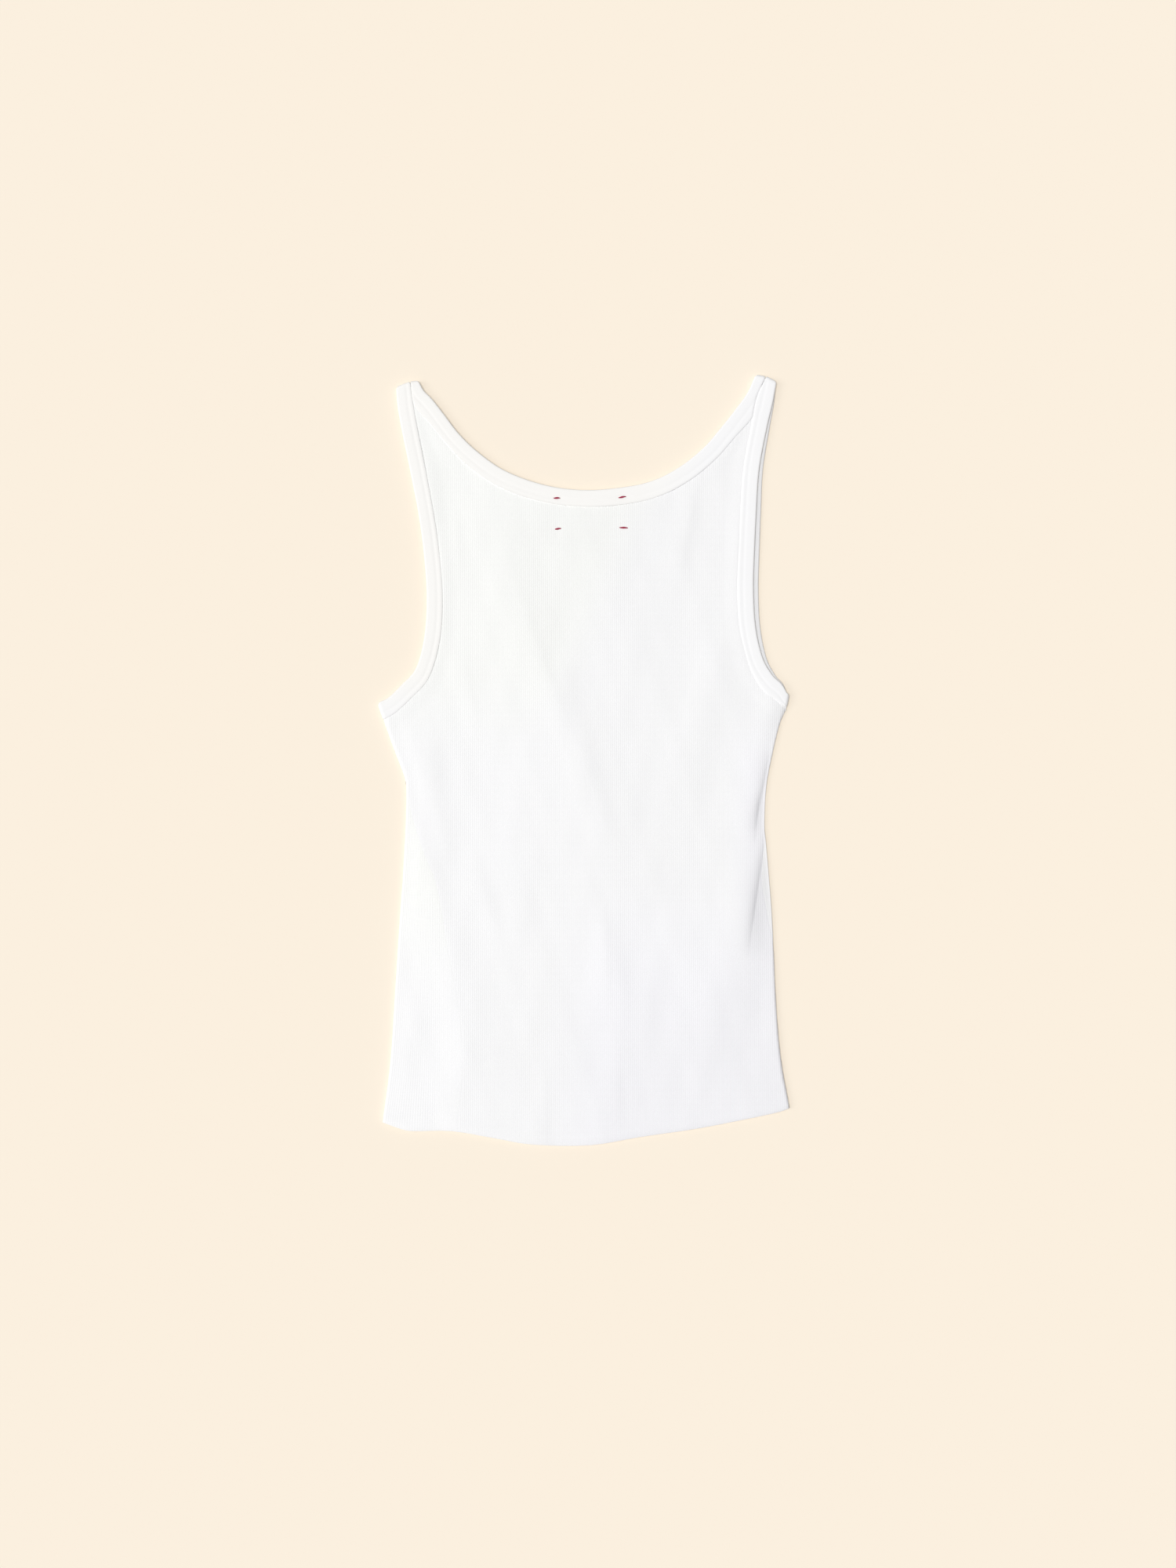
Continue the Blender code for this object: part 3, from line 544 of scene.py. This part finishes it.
def band_section(width):
    """A folded band all round: distance from its free edge and out of its mid line."""
    half = BINDING / 2
    turn = np.linspace(-np.pi / 2, np.pi / 2, ROLL_POINTS + 1)[1:-1]
    face = width - (width - EDGE_ROLL) * np.linspace(1, 0, FACE_POINTS) ** FACE_CROWDING
    seam_side = ((width, -half / 2), (width - SEAM_BEVEL, -half),
                 (width / 2, -half), (EDGE_ROLL, -half))
    edge = [(EDGE_ROLL * (1 - math.cos(t)), half * math.sin(t) * ROLL_SHARE) for t in turn]
    return np.array([*edge, *zip(face, band_face(face, width)), *seam_side])


def width_at(station):
    """How far a station's seam lies from its free edge."""
    return np.hypot(*(station.seam - station.edge))


def band_points(station, section=None):
    """A band's points at one station: its whole section, or (a, n) places on it."""
    width = width_at(station)
    across = np.append((station.seam - station.edge) / width, 0.0)
    axis = np.append(station.edge, BINDING_TURN + station.rise)
    if section is None:
        section = band_section(width - HALF_GAP)
    a, n = np.array(section).T
    return axis + across * a[:, None] + station.facing * (FOLD_RADIUS + n)[:, None]


def run_length(loop):
    """The length run along a loop at each station, and all round, at the seam."""
    seams = np.array([band_points(station, [(width_at(station), 0.0)])[0] for station in loop])
    steps = np.linalg.norm(np.roll(seams, -1, axis=0) - seams, axis=1)
    return np.concatenate([[0.0], np.cumsum(steps)])


# ---- tone, with painted light and shade ----
LIGHTEST = 0.936                # the cloth's reflectance where it is lightest
TONE_RANGE = 0.074              # and how far that falls for each 1 of darkening, own tone and painted shading together
# Colour casts of painted light: a warm cast of painted light, a cool cast of painted shade, and a
# warm cast of painted light on the bindings.
PAINTED_WARM_LIGHT = np.array([0.0, 0.006, -0.020])           # casts: what red, green and blue gain
PAINTED_COOL_SHADE = np.array([0.0, -0.004, 0.018])
BAND_PAINTED_WARM_LIGHT = np.array([0.010, 0.0, -0.031])

BAND_DULL = 0.46                # dullness of a binding,
BAND_RIGHT_PAINTED_SHADE = 0.09          # and the painted shade it gains towards +X
FRONT_TONE_AND_PAINTED_LIGHT = 0.12               # of the front panel, its own tone lifted by painted light on the -X flap,
FRONT_LOW_PAINTED_SHADE = 0.20           # painted shade towards the hem
FRONT_RIGHT_PAINTED_SHADE = 0.70         # and painted shade towards +X, on the strip in the shade of the +X fold
BACK_DULL = 0.62                # of the back panel,
LEFT_PAINTED_LIGHT = -0.22               # painted light in its -X half, towards the lamps,
RIGHT_PAINTED_SHADE = 0.15               # painted shade in its +X half,
BELOW_NECK_PAINTED_SHADE = 0.12                # painted shade below the neck,
HEM_PAINTED_SHADE = 0.36                 # painted shade towards the hem,
HEM_LEFT = 0.25                 # with this share of it on the -X side,
LOW_EDGE_PAINTED_SHADE = 0.30            # painted shade beside the lower +X edge,
UNDERARM_PAINTED_SHADE = 0.50            # and painted shade at the +X underarm, as on a binding
LEFT_LEVEL = 30.0 * MM          # the -X half reaches furthest in at this height,
LEFT_LEAN = 0.08                # and less by this share of the way from it
WARM_LEAN = 0.45                # how far the painted warm light's edge leans to +X, going up,
COOL_LEAN = 0.1                 # and the painted cool shade's


def ramp(way, start, reach):
    """An even S along a way, from 0 at its start to 1 over its reach (mm)."""
    return smoothstep((way - start * MM) / (reach * MM))


def spot(x, y, middle, reach):
    """An oval spot, 1 at its middle and almost 0 at twice its reach (mm)."""
    across = (x - middle[0] * MM) / (reach[0] * MM)
    along = (y - middle[1] * MM) / (reach[1] * MM)
    return np.exp(-across ** 2 - along ** 2)


def tone_and_painted_shading(x, y, piece):
    """How far the cloth is from its lightest at a place, as a share of its range: its own
    tone, with painted shade in creases, towards +X and the hem, and painted light on -X.
    """
    # painted shade at the +X underarm, on the panels and the bindings
    underarm = UNDERARM_PAINTED_SHADE * spot(x, y, middle=(153, 38), reach=(9, 18))
    if piece == "binding":
        # a binding's own tone, with painted shade towards +X and at the underarm
        return BAND_DULL + BAND_RIGHT_PAINTED_SHADE * ramp(x, start=-80, reach=60) + underarm
    # painted shade in the creases beside the +X fold, deeper with their depth
    crease = -CREASE_SHADE * folds_rise(x, y, EDGE_CREASES, rolled_crease) / MM
    if piece == "front":
        # painted light on the front's -X flap; painted shade towards the hem and towards +X
        low = FRONT_LOW_PAINTED_SHADE * ramp(-y, start=90, reach=200)
        return crease + FRONT_TONE_AND_PAINTED_LIGHT + low + FRONT_RIGHT_PAINTED_SHADE * ramp(x, start=0, reach=100)
    # painted light on the -X half; painted shade on the +X half, below the neck, towards the hem
    # and beside the lower +X edge
    left = ramp(-x - LEFT_LEAN * np.abs(y - LEFT_LEVEL), start=10, reach=65)
    right = ramp(x, start=0, reach=50)
    neck = spot(x, y, middle=(0, 175), reach=(70, 30))
    hem_share = HEM_LEFT + (1 - HEM_LEFT) * ramp(x, start=-30, reach=60)
    hem = hem_share * ramp(-y, start=120, reach=140)
    low_edge = ramp(-y, start=110, reach=50) * ramp(x, start=110, reach=25)
    upper = BACK_DULL + LEFT_PAINTED_LIGHT * left + RIGHT_PAINTED_SHADE * right + BELOW_NECK_PAINTED_SHADE * neck
    return crease + upper + HEM_PAINTED_SHADE * hem + LOW_EDGE_PAINTED_SHADE * low_edge + underarm


def tone_and_painted_light(x, y, piece):
    """The cloth's colour at a place, its tone with painted light and shade: warm painted light
    towards the -X strap, cool painted shade by the hem and at the +X side of the waist."""
    light = LIGHTEST - TONE_RANGE * tone_and_painted_shading(x, y, piece)
    if piece == "back":
        # a warm cast of painted light towards the -X strap, a cool cast of painted shade low down
        # and at the +X waist
        warm = ramp(y, start=-10, reach=90) * ramp(WARM_LEAN * y - x, start=20, reach=50)
        low = ramp(-y, start=70, reach=120) * ramp(x - COOL_LEAN * y, start=-20, reach=70)
        waist = ramp(-y, start=-50, reach=70) * ramp(x, start=105, reach=30)
        cast = warm[:, None] * PAINTED_WARM_LIGHT + np.maximum(low, waist)[:, None] * PAINTED_COOL_SHADE
    elif piece == "front":
        warm = ramp(y, start=-190, reach=100) * ramp(-x, start=0, reach=100)
        cast = warm[:, None] * PAINTED_WARM_LIGHT
    else:
        warm = ramp(-x, start=-100, reach=60) * ramp(y, start=20, reach=50)
        cast = warm[:, None] * BAND_PAINTED_WARM_LIGHT
    return np.column_stack([light[:, None] * (1 + cast), np.ones_like(x)])


# ---- meshes ----
def linked_object(name, data):
    """A new object in the scene."""
    obj = bpy.data.objects.new(name, data)
    bpy.context.scene.collection.objects.link(obj)
    return obj


def grid_object(name, piece, place, flat, kept=None, closed=False, flip=False, shade=None):
    """A mesh from a grid of places, its UV map from their flat places.  It keeps the
    faces that are marked, and a closed grid joins its last row and column to its
    first, with one more row and column of flat places."""
    rows, columns = place.shape[:2]
    if closed:
        row, column = np.meshgrid(np.arange(rows), np.arange(columns), indexing="ij")
    else:
        row, column = np.nonzero(kept)
    row, column = row.ravel(), column.ravel()
    steps = ((0, 0), (0, 1), (1, 1), (1, 0))
    if flip:
        steps = steps[::-1]
    corners = np.stack([((row + i) % rows) * columns + (column + j) % columns
                        for i, j in steps], axis=1)
    chart = np.stack([flat[row + i, column + j] for i, j in steps], axis=1)
    used, corners = np.unique(corners, return_inverse=True)
    mesh = bpy.data.meshes.new(name)
    points = place.reshape(-1, 3)[used]
    mesh.from_pydata(points.tolist(), [], corners.reshape(-1, 4).tolist())
    layer = mesh.uv_layers.new(name="flat")
    layer.data.foreach_set("uv", (chart / MM).astype(np.float32).ravel())
    # the cloth's own tone with painted light and shade, as a colour on each point
    colours = mesh.attributes.new("tone_and_painted_light", "FLOAT_COLOR", "POINT")
    colour = tone_and_painted_light(points[:, 0], points[:, 1], piece)
    # painted shade, where a share of it is given
    if shade is not None:
        colour[:, :3] *= 1 - shade.reshape(-1)[used, None]
    colours.data.foreach_set("color", colour.ravel())
    mesh.shade_smooth()
    return linked_object(name, mesh)


def inside_outline(v, y, outline):
    """Whether each place lies inside a closed outline, by crossings to its right."""
    inside = np.zeros(v.shape, dtype=bool)
    for (v0, y0), (v1, y1) in zip(outline, np.roll(outline, -1, axis=0)):
        if y0 == y1:
            continue
        spans = (y0 > y) != (y1 > y)
        crossing = v0 + (y - y0) * (v1 - v0) / (y1 - y0)
        inside ^= spans & (v < crossing)
    return inside


def distance_to(v, y, line):
    """Each place's distance to an open line."""
    best = np.full(v.shape, FAR)
    for (v0, y0), (v1, y1) in zip(line[:-1], line[1:]):
        length = math.hypot(v1 - v0, y1 - y0)
        if length < TINY:
            continue
        along = ((v - v0) * (v1 - v0) + (y - y0) * (y1 - y0)) / length
        t = np.clip(along, 0.0, length) / length
        best = np.minimum(best, np.hypot(v - v0 - t * (v1 - v0), y - y0 - t * (y1 - y0)))
    return best


def rib(v):
    """The rise of the ribs and the grooves between them at a place on the blank."""
    return RIB_BASE + RIB_RELIEF * np.sin(np.pi * (v + BODY_HALF) / RIB_PITCH) ** 2


def hem_line(v, upper):
    """A panel's hem at each column of its blank."""
    level = np.full_like(v, HEM_PATH[:, 1].mean())
    place = fold_panel(v, level, 0 * v, upper)
    y = hem_y(place[:, 0])
    if not upper:
        y = y + FRONT_HEM_RISE * smoothstep((PANEL_TURN - place[:, 2]) / WALL)
    return y


def row_heights(hem, bands):
    """Rows of heights above the hem's lip.  Those of the first band lead from the
    hem's own line to a level one."""
    start = hem + HEM_LIP[-1].inset * MM
    low = bands[0].top * MM
    count = round((low - start.mean()) / (bands[0].step * MM))
    rows = [start + (low - start) * k / count for k in range(1, count + 1)]
    for band in bands[1:]:
        top = band.top * MM
        count = round((top - low) / (band.step * MM))
        rows += [np.full_like(hem, low + (top - low) * k / count) for k in range(1, count + 1)]
        low = top
    return rows


def side_limit(y, sign, upper):
    """The blank's v where a panel ends in its side seam, at height y."""
    s = seam_offset(y, sign) + (HALF_GAP if upper else -HALF_GAP)
    inward = s if upper else -s
    return blank_v(turn_line(y, sign) - sign * inward, y, upper)


def seam_line(neck, left, right, upper):
    """The bindings' seam lines in the blank's (v, y), from underarm to underarm."""
    neck = neck if neck[0, 0] < 0 else neck[::-1]
    rows = np.vstack([left[::-1], neck, right])
    return np.column_stack([blank_v(rows[:, 2], rows[:, 3], upper), rows[:, 3]])


def panel_object(name, bands, neck, left, right, upper):
    """A ribbed panel: the grid of its blank, cut along its seams and folded."""
    step = RIB_PITCH / COLUMNS_PER_RIB
    first = -BODY_HALF - round(FLAP_MAX / step) * step
    v = np.arange(first, BODY_HALF + FLAP_MAX, step)
    ends = HEM_PATH[[0, -1], 1]
    low_v = side_limit(ends[:1], -1, upper)[0]
    high_v = side_limit(ends[1:], 1, upper)[0]
    hem = hem_line(np.clip(v, low_v, high_v), upper)
    above = row_heights(hem, bands)
    full = [1.0] * len(above)
    y = np.array([hem + lip.inset * MM for lip in HEM_LIP] + above)
    level = np.array([lip.level for lip in HEM_LIP] + full)[:, None]
    share = np.array([lip.rib for lip in HEM_LIP] + full)[:, None]

    # the grid ends in the side seams
    left_limit = side_limit(y, -1, upper) - SIDE_TUCK
    right_limit = side_limit(y, 1, upper) + SIDE_TUCK
    v = np.clip(np.broadcast_to(v, y.shape), left_limit, right_limit)
    wide = np.diff(v, axis=1) > TINY
    beside_side = np.minimum(v - left_limit, right_limit - v)

    # and under the bindings, which all lie above y = 0
    line = seam_line(neck, left, right, upper)
    below = ((FAR, line[-1, 1]), (FAR, -FAR), (-FAR, -FAR), (-FAR, line[0, 1]))
    inside = inside_outline(v, y, np.vstack([line, below]))
    near = y > 0.0
    reach = np.full(v.shape, FAR)
    reach[near] = distance_to(v[near], y[near], line)
    kept_place = inside | ((reach < TUCK) & (y < line[:, 1].max() - STRAP_STOP))
    beside_binding = np.where(inside, reach, 0.0)

    # the knit's outer face, which has no room for ribs to stand out of underneath
    s = fold_height(v, y, upper)
    underneath = smoothstep((QUARTER - s) / (2 * QUARTER))
    side_dip = np.where(v < 0, LEFT_SEAM_DIP, SEAM_DIP)
    dip = side_dip * (1 - smoothstep(beside_side / SEAM_REACH))
    dip = np.maximum(dip, SEAM_DIP * (1 - smoothstep(beside_binding / SEAM_REACH)))
    lift = ALLOWANCE_LIFT * (1 - smoothstep(beside_binding / ALLOWANCE_REACH))
    lift = lift * smoothstep(np.abs(s) / QUARTER - 1.0)
    lift = lift * (1 - (1 - NECK_LIFT) * smoothstep((NECK_HALF - np.abs(v)) / NECK_EASE))
    face = share * (rib(v) - (RIB_BASE + RIB_RELIEF) * underneath)
    face = face + (lift * (s > 0) - dip) * (level > 0)
    place = fold_panel(v, y, level * WALL / 2 + face, upper)
    kept = kept_place[:-1, :-1] & kept_place[1:, :-1] & kept_place[:-1, 1:] & kept_place[1:, 1:]
    kept &= wide[:-1] | wide[1:]
    flat = np.stack([v, y], axis=-1)
    piece = "back" if upper else "front"
    return grid_object(name, piece, place, flat, kept=kept, flip=not upper)


def binding_object(name, loop, seam_shade):
    """A binding: its section run through its closed loop, with a share of painted shade at its
    seam.
    """
    widths = [width_at(station) - HALF_GAP for station in loop]
    from_seam = np.array([width - band_section(width)[:, 0] for width in widths])
    shade = seam_shade * np.exp(-(from_seam / SHADE_REACH) ** 2)
    place = np.array([band_points(station) for station in loop])
    on_top = place[:, :, 2] > BINDING_TURN + FOLD_RADIUS
    place[:, :, 2] += np.where(on_top, tack_pucker(place[:, :, 0], place[:, :, 1]), 0.0)
    run = run_length(loop)
    around = np.arange(place.shape[1] + 1) * CHART_STEP
    flat = np.stack(np.meshgrid(run, around, indexing="ij"), axis=-1)
    return grid_object(name, "binding", place, flat, closed=True, shade=shade)


# ---- sewing ----
THREAD_END = 0.12               # where on the half wave of its taper a thread starts
STITCH_PITCH = 2.6 * MM
STITCH_LENGTH = 2.0 * MM
STITCH_RADIUS = 0.13 * MM
STITCH_LEVEL = 0.10 * MM        # above a band's mid line, down in the seam
STITCH_POINTS = 4
STITCH_SIDES = 6
TACK_RADIUS = 0.43 * MM
TACK_STRANDS = 2
TACK_POINTS = 9
TACK_SIDES = 8
STRAND_PITCH = 1.1              # in radii,
STRAND_CLOSING = 0.8            # and the share of it lost at the ends
STRAND_SWAY = 0.12 * MM         # how far the strands swing sideways,
STRAND_WAVE = 3                 # and how fast
TACK_SINK = 0.9                 # how deep a tack's ends lie, in radii


def thread_object(name, paths, radius, sides):
    """Short lengths of thread, each a row of points, as one mesh of tapered tubes."""
    vertices = []
    faces = []
    for path in paths:
        path = np.array(path)
        way = np.gradient(path, axis=0)
        way /= np.linalg.norm(way, axis=1)[:, None]
        sideways = np.cross(way, (0.0, 0.0, 1.0))
        sideways /= np.linalg.norm(sideways, axis=1)[:, None]
        upwards = np.cross(sideways, way)
        half_wave = np.pi * np.linspace(THREAD_END, 1 - THREAD_END, len(path))
        taper = np.sin(half_wave) ** 0.5
        base = len(vertices)
        for point, side, up, share in zip(path, sideways, upwards, taper):
            for k in range(sides):
                angle = 2 * math.pi * k / sides
                spoke = side * math.cos(angle) + up * math.sin(angle)
                vertices.append(point + spoke * radius * share)
        for i in range(len(path) - 1):
            ring = base + i * sides
            for k in range(sides):
                here, after = ring + k, ring + (k + 1) % sides
                faces.append((here, after, after + sides, here + sides))
        faces.append([base + k for k in range(sides)][::-1])
        faces.append([base + (len(path) - 1) * sides + k for k in range(sides)])
    mesh = bpy.data.meshes.new(name)
    mesh.from_pydata([tuple(p) for p in vertices], [], faces)
    mesh.shade_smooth()
    return linked_object(name, mesh)


def seam_stitches(name, loop):
    """Stitches sunk in the seam beside a binding."""
    run = run_length(loop)
    line = np.array([band_points(station, [(width_at(station) + HALF_GAP, STITCH_LEVEL)])[0]
                     for station in loop + loop[:1]])
    count = int(run[-1] / STITCH_PITCH)
    paths = []
    for k in range(count):
        places = k * run[-1] / count + np.linspace(0, STITCH_LENGTH, STITCH_POINTS)
        paths.append(np.column_stack([np.interp(places, run, axis) for axis in line.T]))
    return thread_object(name, paths, STITCH_RADIUS, STITCH_SIDES)


def tack_paths(tack, surface):
    """The strands of one tack, arched over the knit with their ends sunk in it."""
    turn = math.radians(tack.turn)
    along = np.array([math.cos(turn), math.sin(turn)])
    across = np.array([-along[1], along[0]])
    middle = np.array([tack.x, tack.y]) * MM
    paths = []
    for strand in range(TACK_STRANDS):
        side = (strand - (TACK_STRANDS - 1) / 2) * STRAND_PITCH * TACK_RADIUS
        path = []
        for t in np.linspace(-1, 1, TACK_POINTS):
            sway = STRAND_SWAY * math.sin(STRAND_WAVE * t + strand)
            cross = side * (1 - STRAND_CLOSING * abs(t)) + sway
            x, y = middle + along * t * tack.length * MM / 2 + across * cross
            arch = (tack.proud * (1 - t ** 4) - TACK_SINK * t ** 4) * TACK_RADIUS
            path.append((x, y, surface + arch))
        paths.append(path)
    return paths


# ---- materials ----
def new_material(name, colour, roughness):
    """A Principled material and its shader."""
    finish = bpy.data.materials.new(name)
    finish.use_nodes = True
    shader = finish.node_tree.nodes["Principled BSDF"]
    shader.inputs["Base Color"].default_value = (*colour, 1.0)
    shader.inputs["Roughness"].default_value = roughness
    return finish, shader


def node(tree, kind, **values):
    """A shader node of a kind, its settings and inputs filled in by name."""
    made = tree.nodes.new("ShaderNode" + kind)
    for name, value in values.items():
        if hasattr(made, name):
            setattr(made, name, value)
        else:
            made.inputs[name].default_value = value
    return made


def math_node(tree, operation, first, second=None):
    """A Math node on sockets or plain numbers."""
    made = node(tree, "Math", operation=operation)
    for socket, value in zip(made.inputs, (first, second)):
        if value is None:
            continue
        if isinstance(value, (int, float)):
            socket.default_value = value
        else:
            tree.links.new(value, socket)
    return made.outputs[0]


STITCH_SLANT = 1.2              # how steeply a course falls away from its middle,
STITCH_FADE = 1.6               # and how fast it flattens out
MOTTLE = 0.03                   # how far the white varies
FUZZ = 0.6                      # height of the fuzz against that of the stitches


def knit_height(tree, column, course):
    """The height of knit stitches: V-shaped courses on each column of the flat map."""
    chart = node(tree, "UVMap", uv_map="flat")
    parts = node(tree, "SeparateXYZ")
    tree.links.new(chart.outputs[0], parts.inputs[0])
    u = math_node(tree, "DIVIDE", parts.outputs[0], column)
    across = math_node(tree, "SUBTRACT", math_node(tree, "FRACT", u), 0.5)
    away = math_node(tree, "ABSOLUTE", across)
    v = math_node(tree, "DIVIDE", parts.outputs[1], course)
    bent = math_node(tree, "ADD", v, math_node(tree, "MULTIPLY", away, STITCH_SLANT))
    wave = math_node(tree, "SINE", math_node(tree, "MULTIPLY", bent, 2 * math.pi))
    full = math_node(tree, "SUBTRACT", 1.0, math_node(tree, "MULTIPLY", away, STITCH_FADE))
    return math_node(tree, "MULTIPLY", wave, full)


def cotton_material(name, column, course, relief):
    """White cotton knit with fine stitches, its tone with painted light and shade, and a faint
    fuzz.
    """
    finish, shader = new_material(name, colour=3 * (LIGHTEST,), roughness=0.9)
    tree = finish.node_tree
    place = node(tree, "TexCoord")
    # the cloth's tone with painted light and shade
    colour = node(tree, "Attribute", attribute_name="tone_and_painted_light")
    mottle = node(tree, "TexNoise", Scale=28.0, Detail=3.0)
    tree.links.new(place.outputs["Object"], mottle.inputs["Vector"])
    middled = math_node(tree, "SUBTRACT", mottle.outputs[0], 0.5)
    uneven = math_node(tree, "MULTIPLY", middled, MOTTLE)
    varied = node(tree, "VectorMath", operation="SCALE")
    tree.links.new(colour.outputs["Color"], varied.inputs[0])
    tree.links.new(math_node(tree, "SUBTRACT", 1.0, uneven), varied.inputs["Scale"])
    tree.links.new(varied.outputs[0], shader.inputs["Base Color"])
    shader.inputs["Sheen Weight"].default_value = 0.02
    shader.inputs["Sheen Roughness"].default_value = 0.6
    shader.inputs["Specular IOR Level"].default_value = 0.05
    bump = node(tree, "Bump", Strength=0.5, Distance=relief)
    fuzz = node(tree, "TexNoise", Scale=2600.0, Detail=2.0)
    tree.links.new(place.outputs["Object"], fuzz.inputs["Vector"])
    height = math_node(tree, "ADD", knit_height(tree, column, course),
                       math_node(tree, "MULTIPLY", fuzz.outputs[0], FUZZ))
    tree.links.new(height, bump.inputs["Height"])
    tree.links.new(bump.outputs[0], shader.inputs["Normal"])
    return finish


def thread_material(name, colour):
    """Spun thread: a plain colour with a fine twist."""
    finish, shader = new_material(name, colour, roughness=0.75)
    tree = finish.node_tree
    place = node(tree, "TexCoord")
    twist = node(tree, "TexWave", Scale=900.0, Distortion=1.5)
    twist.bands_direction = "DIAGONAL"
    tree.links.new(place.outputs["Object"], twist.inputs["Vector"])
    bump = node(tree, "Bump", Strength=0.6, Distance=0.0001)
    tree.links.new(twist.outputs["Fac"], bump.inputs["Height"])
    tree.links.new(bump.outputs[0], shader.inputs["Normal"])
    return finish


# ---- the garment ----
def dress(obj, finish, slot, *nodes):
    """Gives a piece its finish and puts it on the frame."""
    obj.data.materials.append(finish)
    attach(obj, "root")
    if nodes:
        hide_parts(*nodes)
    return obj


def build_garment():
    """Every piece of the tank top."""
    left_back = armhole_rows(LEFT_ARMHOLE, 0.0)
    right_back = armhole_rows(RIGHT_ARMHOLE, 0.0)
    left_front = armhole_rows(LEFT_ARMHOLE, FRONT_SHIFT)
    right_front = armhole_rows(RIGHT_ARMHOLE, FRONT_SHIFT)
    neck_back = neck_rows(BACK_NECK, left_back, right_back)
    neck_front = neck_rows(FRONT_NECK, left_front, right_front)
    loops = {
        "neck": binding_loop(neck_back, neck_front),
        "left_armhole": binding_loop(left_back, left_front[::-1]),
        "right_armhole": binding_loop(right_back, right_front[::-1]),
    }

    knit = cotton_material("rib_knit", column=RIB_PITCH / MM, course=1.1, relief=0.00007)
    bound = cotton_material("binding_knit", column=1.1, course=1.0, relief=0.00003)
    thread, _ = new_material("white_thread", colour=(0.88, 0.88, 0.87), roughness=0.7)
    crimson = thread_material("crimson_thread", colour=(0.34, 0.012, 0.055))

    back = panel_object("rib_back", BACK_BANDS, neck_back, left_back, right_back, True)
    front = panel_object("rib_front", FRONT_BANDS, neck_front, left_front, right_front, False)
    dress(back, knit, "rib_knit", "back_panel")
    dress(front, knit, "rib_knit", "front_panel")

    tacks = {"tacks_neck": [], "tacks_back": []}
    knit_top = PANEL_TURN + FOLD_RADIUS + WALL / 2 + RIB_BASE + RIB_RELIEF
    band_top = BINDING_TURN + FOLD_RADIUS + BINDING / 2
    for tack in TACKS:
        if tack.y > BAND_TACKS:
            tacks["tacks_neck"] += tack_paths(tack, band_top)
        else:
            x, y = np.array([tack.x]) * MM, np.array([tack.y]) * MM
            tacks["tacks_back"] += tack_paths(tack, knit_top + drape(x, y)[0])
    upper_tacks, lower_tacks = [
        dress(thread_object(name, paths, TACK_RADIUS, TACK_SIDES), crimson, None)
        for name, paths in tacks.items()
    ]

    for side, loop in loops.items():
        seam_shade = NECK_SHADE if side == "neck" else 0.0
        band = dress(binding_object("binding_" + side, loop, seam_shade), bound, "binding_knit",
                     side + "_binding")
        sewn = dress(seam_stitches("stitches_" + side, loop), thread, "binding_knit")


# ---- floor, light and camera ----
FLOOR_COLOUR = (0.911, 0.821, 0.694)
FLOOR_GLOW = 0.35               # share of the floor's light that comes up through it
FLOOR_SIZE = 160.0              # its edge stays out of a low view
FLOOR_DROP = 0.0002             # how far it lies below the cloth
LIGHT_LEVEL = 1.064             # what the floor gets from all the lights together
SKY_SHARE = 0.27                # and what share of that the sky gives,
LEFT_SHARE = 0.15               # and the lamp on the -X side
SKY_COLOUR = (0.985, 0.99, 1.0, 1.0)
LEFT_WAY = (-0.996, -0.087, 0.0)    # level way to the brighter side of the studio
SKY_LEAN = 0.45                     # how much brighter the sky is on that side
LAMP_TURN = 5                       # both lamps stand this far round from -X, in degrees
CAMERA_PLACE = (0.0035, -0.0185, 2.4)
CAMERA_LENS = 70.8


def build_floor():
    """A cream light table just under the cloth, lit from above and from below."""
    half = FLOOR_SIZE / 2
    mesh = bpy.data.meshes.new("floor")
    corners = [(-half, -half), (half, -half), (half, half), (-half, half)]
    mesh.from_pydata([(x, y, -FLOOR_DROP) for x, y in corners], [], [(0, 1, 2, 3)])
    floor = linked_object("floor", mesh)
    surface = [(1 - FLOOR_GLOW) * value for value in FLOOR_COLOUR]
    finish, shader = new_material("floor_paper", surface, roughness=0.95)
    shader.inputs["Specular IOR Level"].default_value = 0.0
    shader.inputs["Emission Color"].default_value = (*FLOOR_COLOUR, 1.0)
    shader.inputs["Emission Strength"].default_value = FLOOR_GLOW * LIGHT_LEVEL
    mesh.materials.append(finish)


def add_sun(name, share, tilt, angle, colour):
    """A distant lamp that gives the floor a share of its light, tilted towards -X."""
    lamp = bpy.data.lights.new(name, "SUN")
    lamp.energy = share * LIGHT_LEVEL * math.pi / math.cos(math.radians(tilt))
    lamp.angle = math.radians(angle)
    lamp.color = colour
    sun = linked_object(name, lamp)
    sun.rotation_euler = (0.0, math.radians(-tilt), math.radians(LAMP_TURN))


def build_light():
    """A sky that is brighter on the -X side, a soft lamp there and one overhead."""
    world = bpy.data.worlds.new("studio")
    world.use_nodes = True
    tree = world.node_tree
    sky = tree.nodes["Background"]
    sky.inputs["Color"].default_value = SKY_COLOUR
    way = node(tree, "TexCoord")
    lean = node(tree, "VectorMath", operation="DOT_PRODUCT")
    lean.inputs[1].default_value = LEFT_WAY
    tree.links.new(way.outputs["Generated"], lean.inputs[0])
    level = SKY_SHARE * LIGHT_LEVEL
    leaning = math_node(tree, "MULTIPLY", lean.outputs["Value"], SKY_LEAN * level)
    tree.links.new(math_node(tree, "ADD", leaning, level), sky.inputs["Strength"])
    bpy.context.scene.world = world
    above = 1 - SKY_SHARE - LEFT_SHARE
    add_sun("window", LEFT_SHARE, tilt=50, angle=32, colour=(1.0, 0.985, 0.965))
    add_sun("overhead", above, tilt=12, angle=18, colour=(1.0, 0.996, 1.006))


def build_camera():
    """A camera straight above the garment."""
    lens = bpy.data.cameras.new("camera")
    lens.lens = CAMERA_LENS
    camera = linked_object("camera", lens)
    camera.location = CAMERA_PLACE
    bpy.context.scene.camera = camera


build_garment()
build_floor()
build_light()
build_camera()
bpy.context.scene.view_settings.view_transform = "Standard"
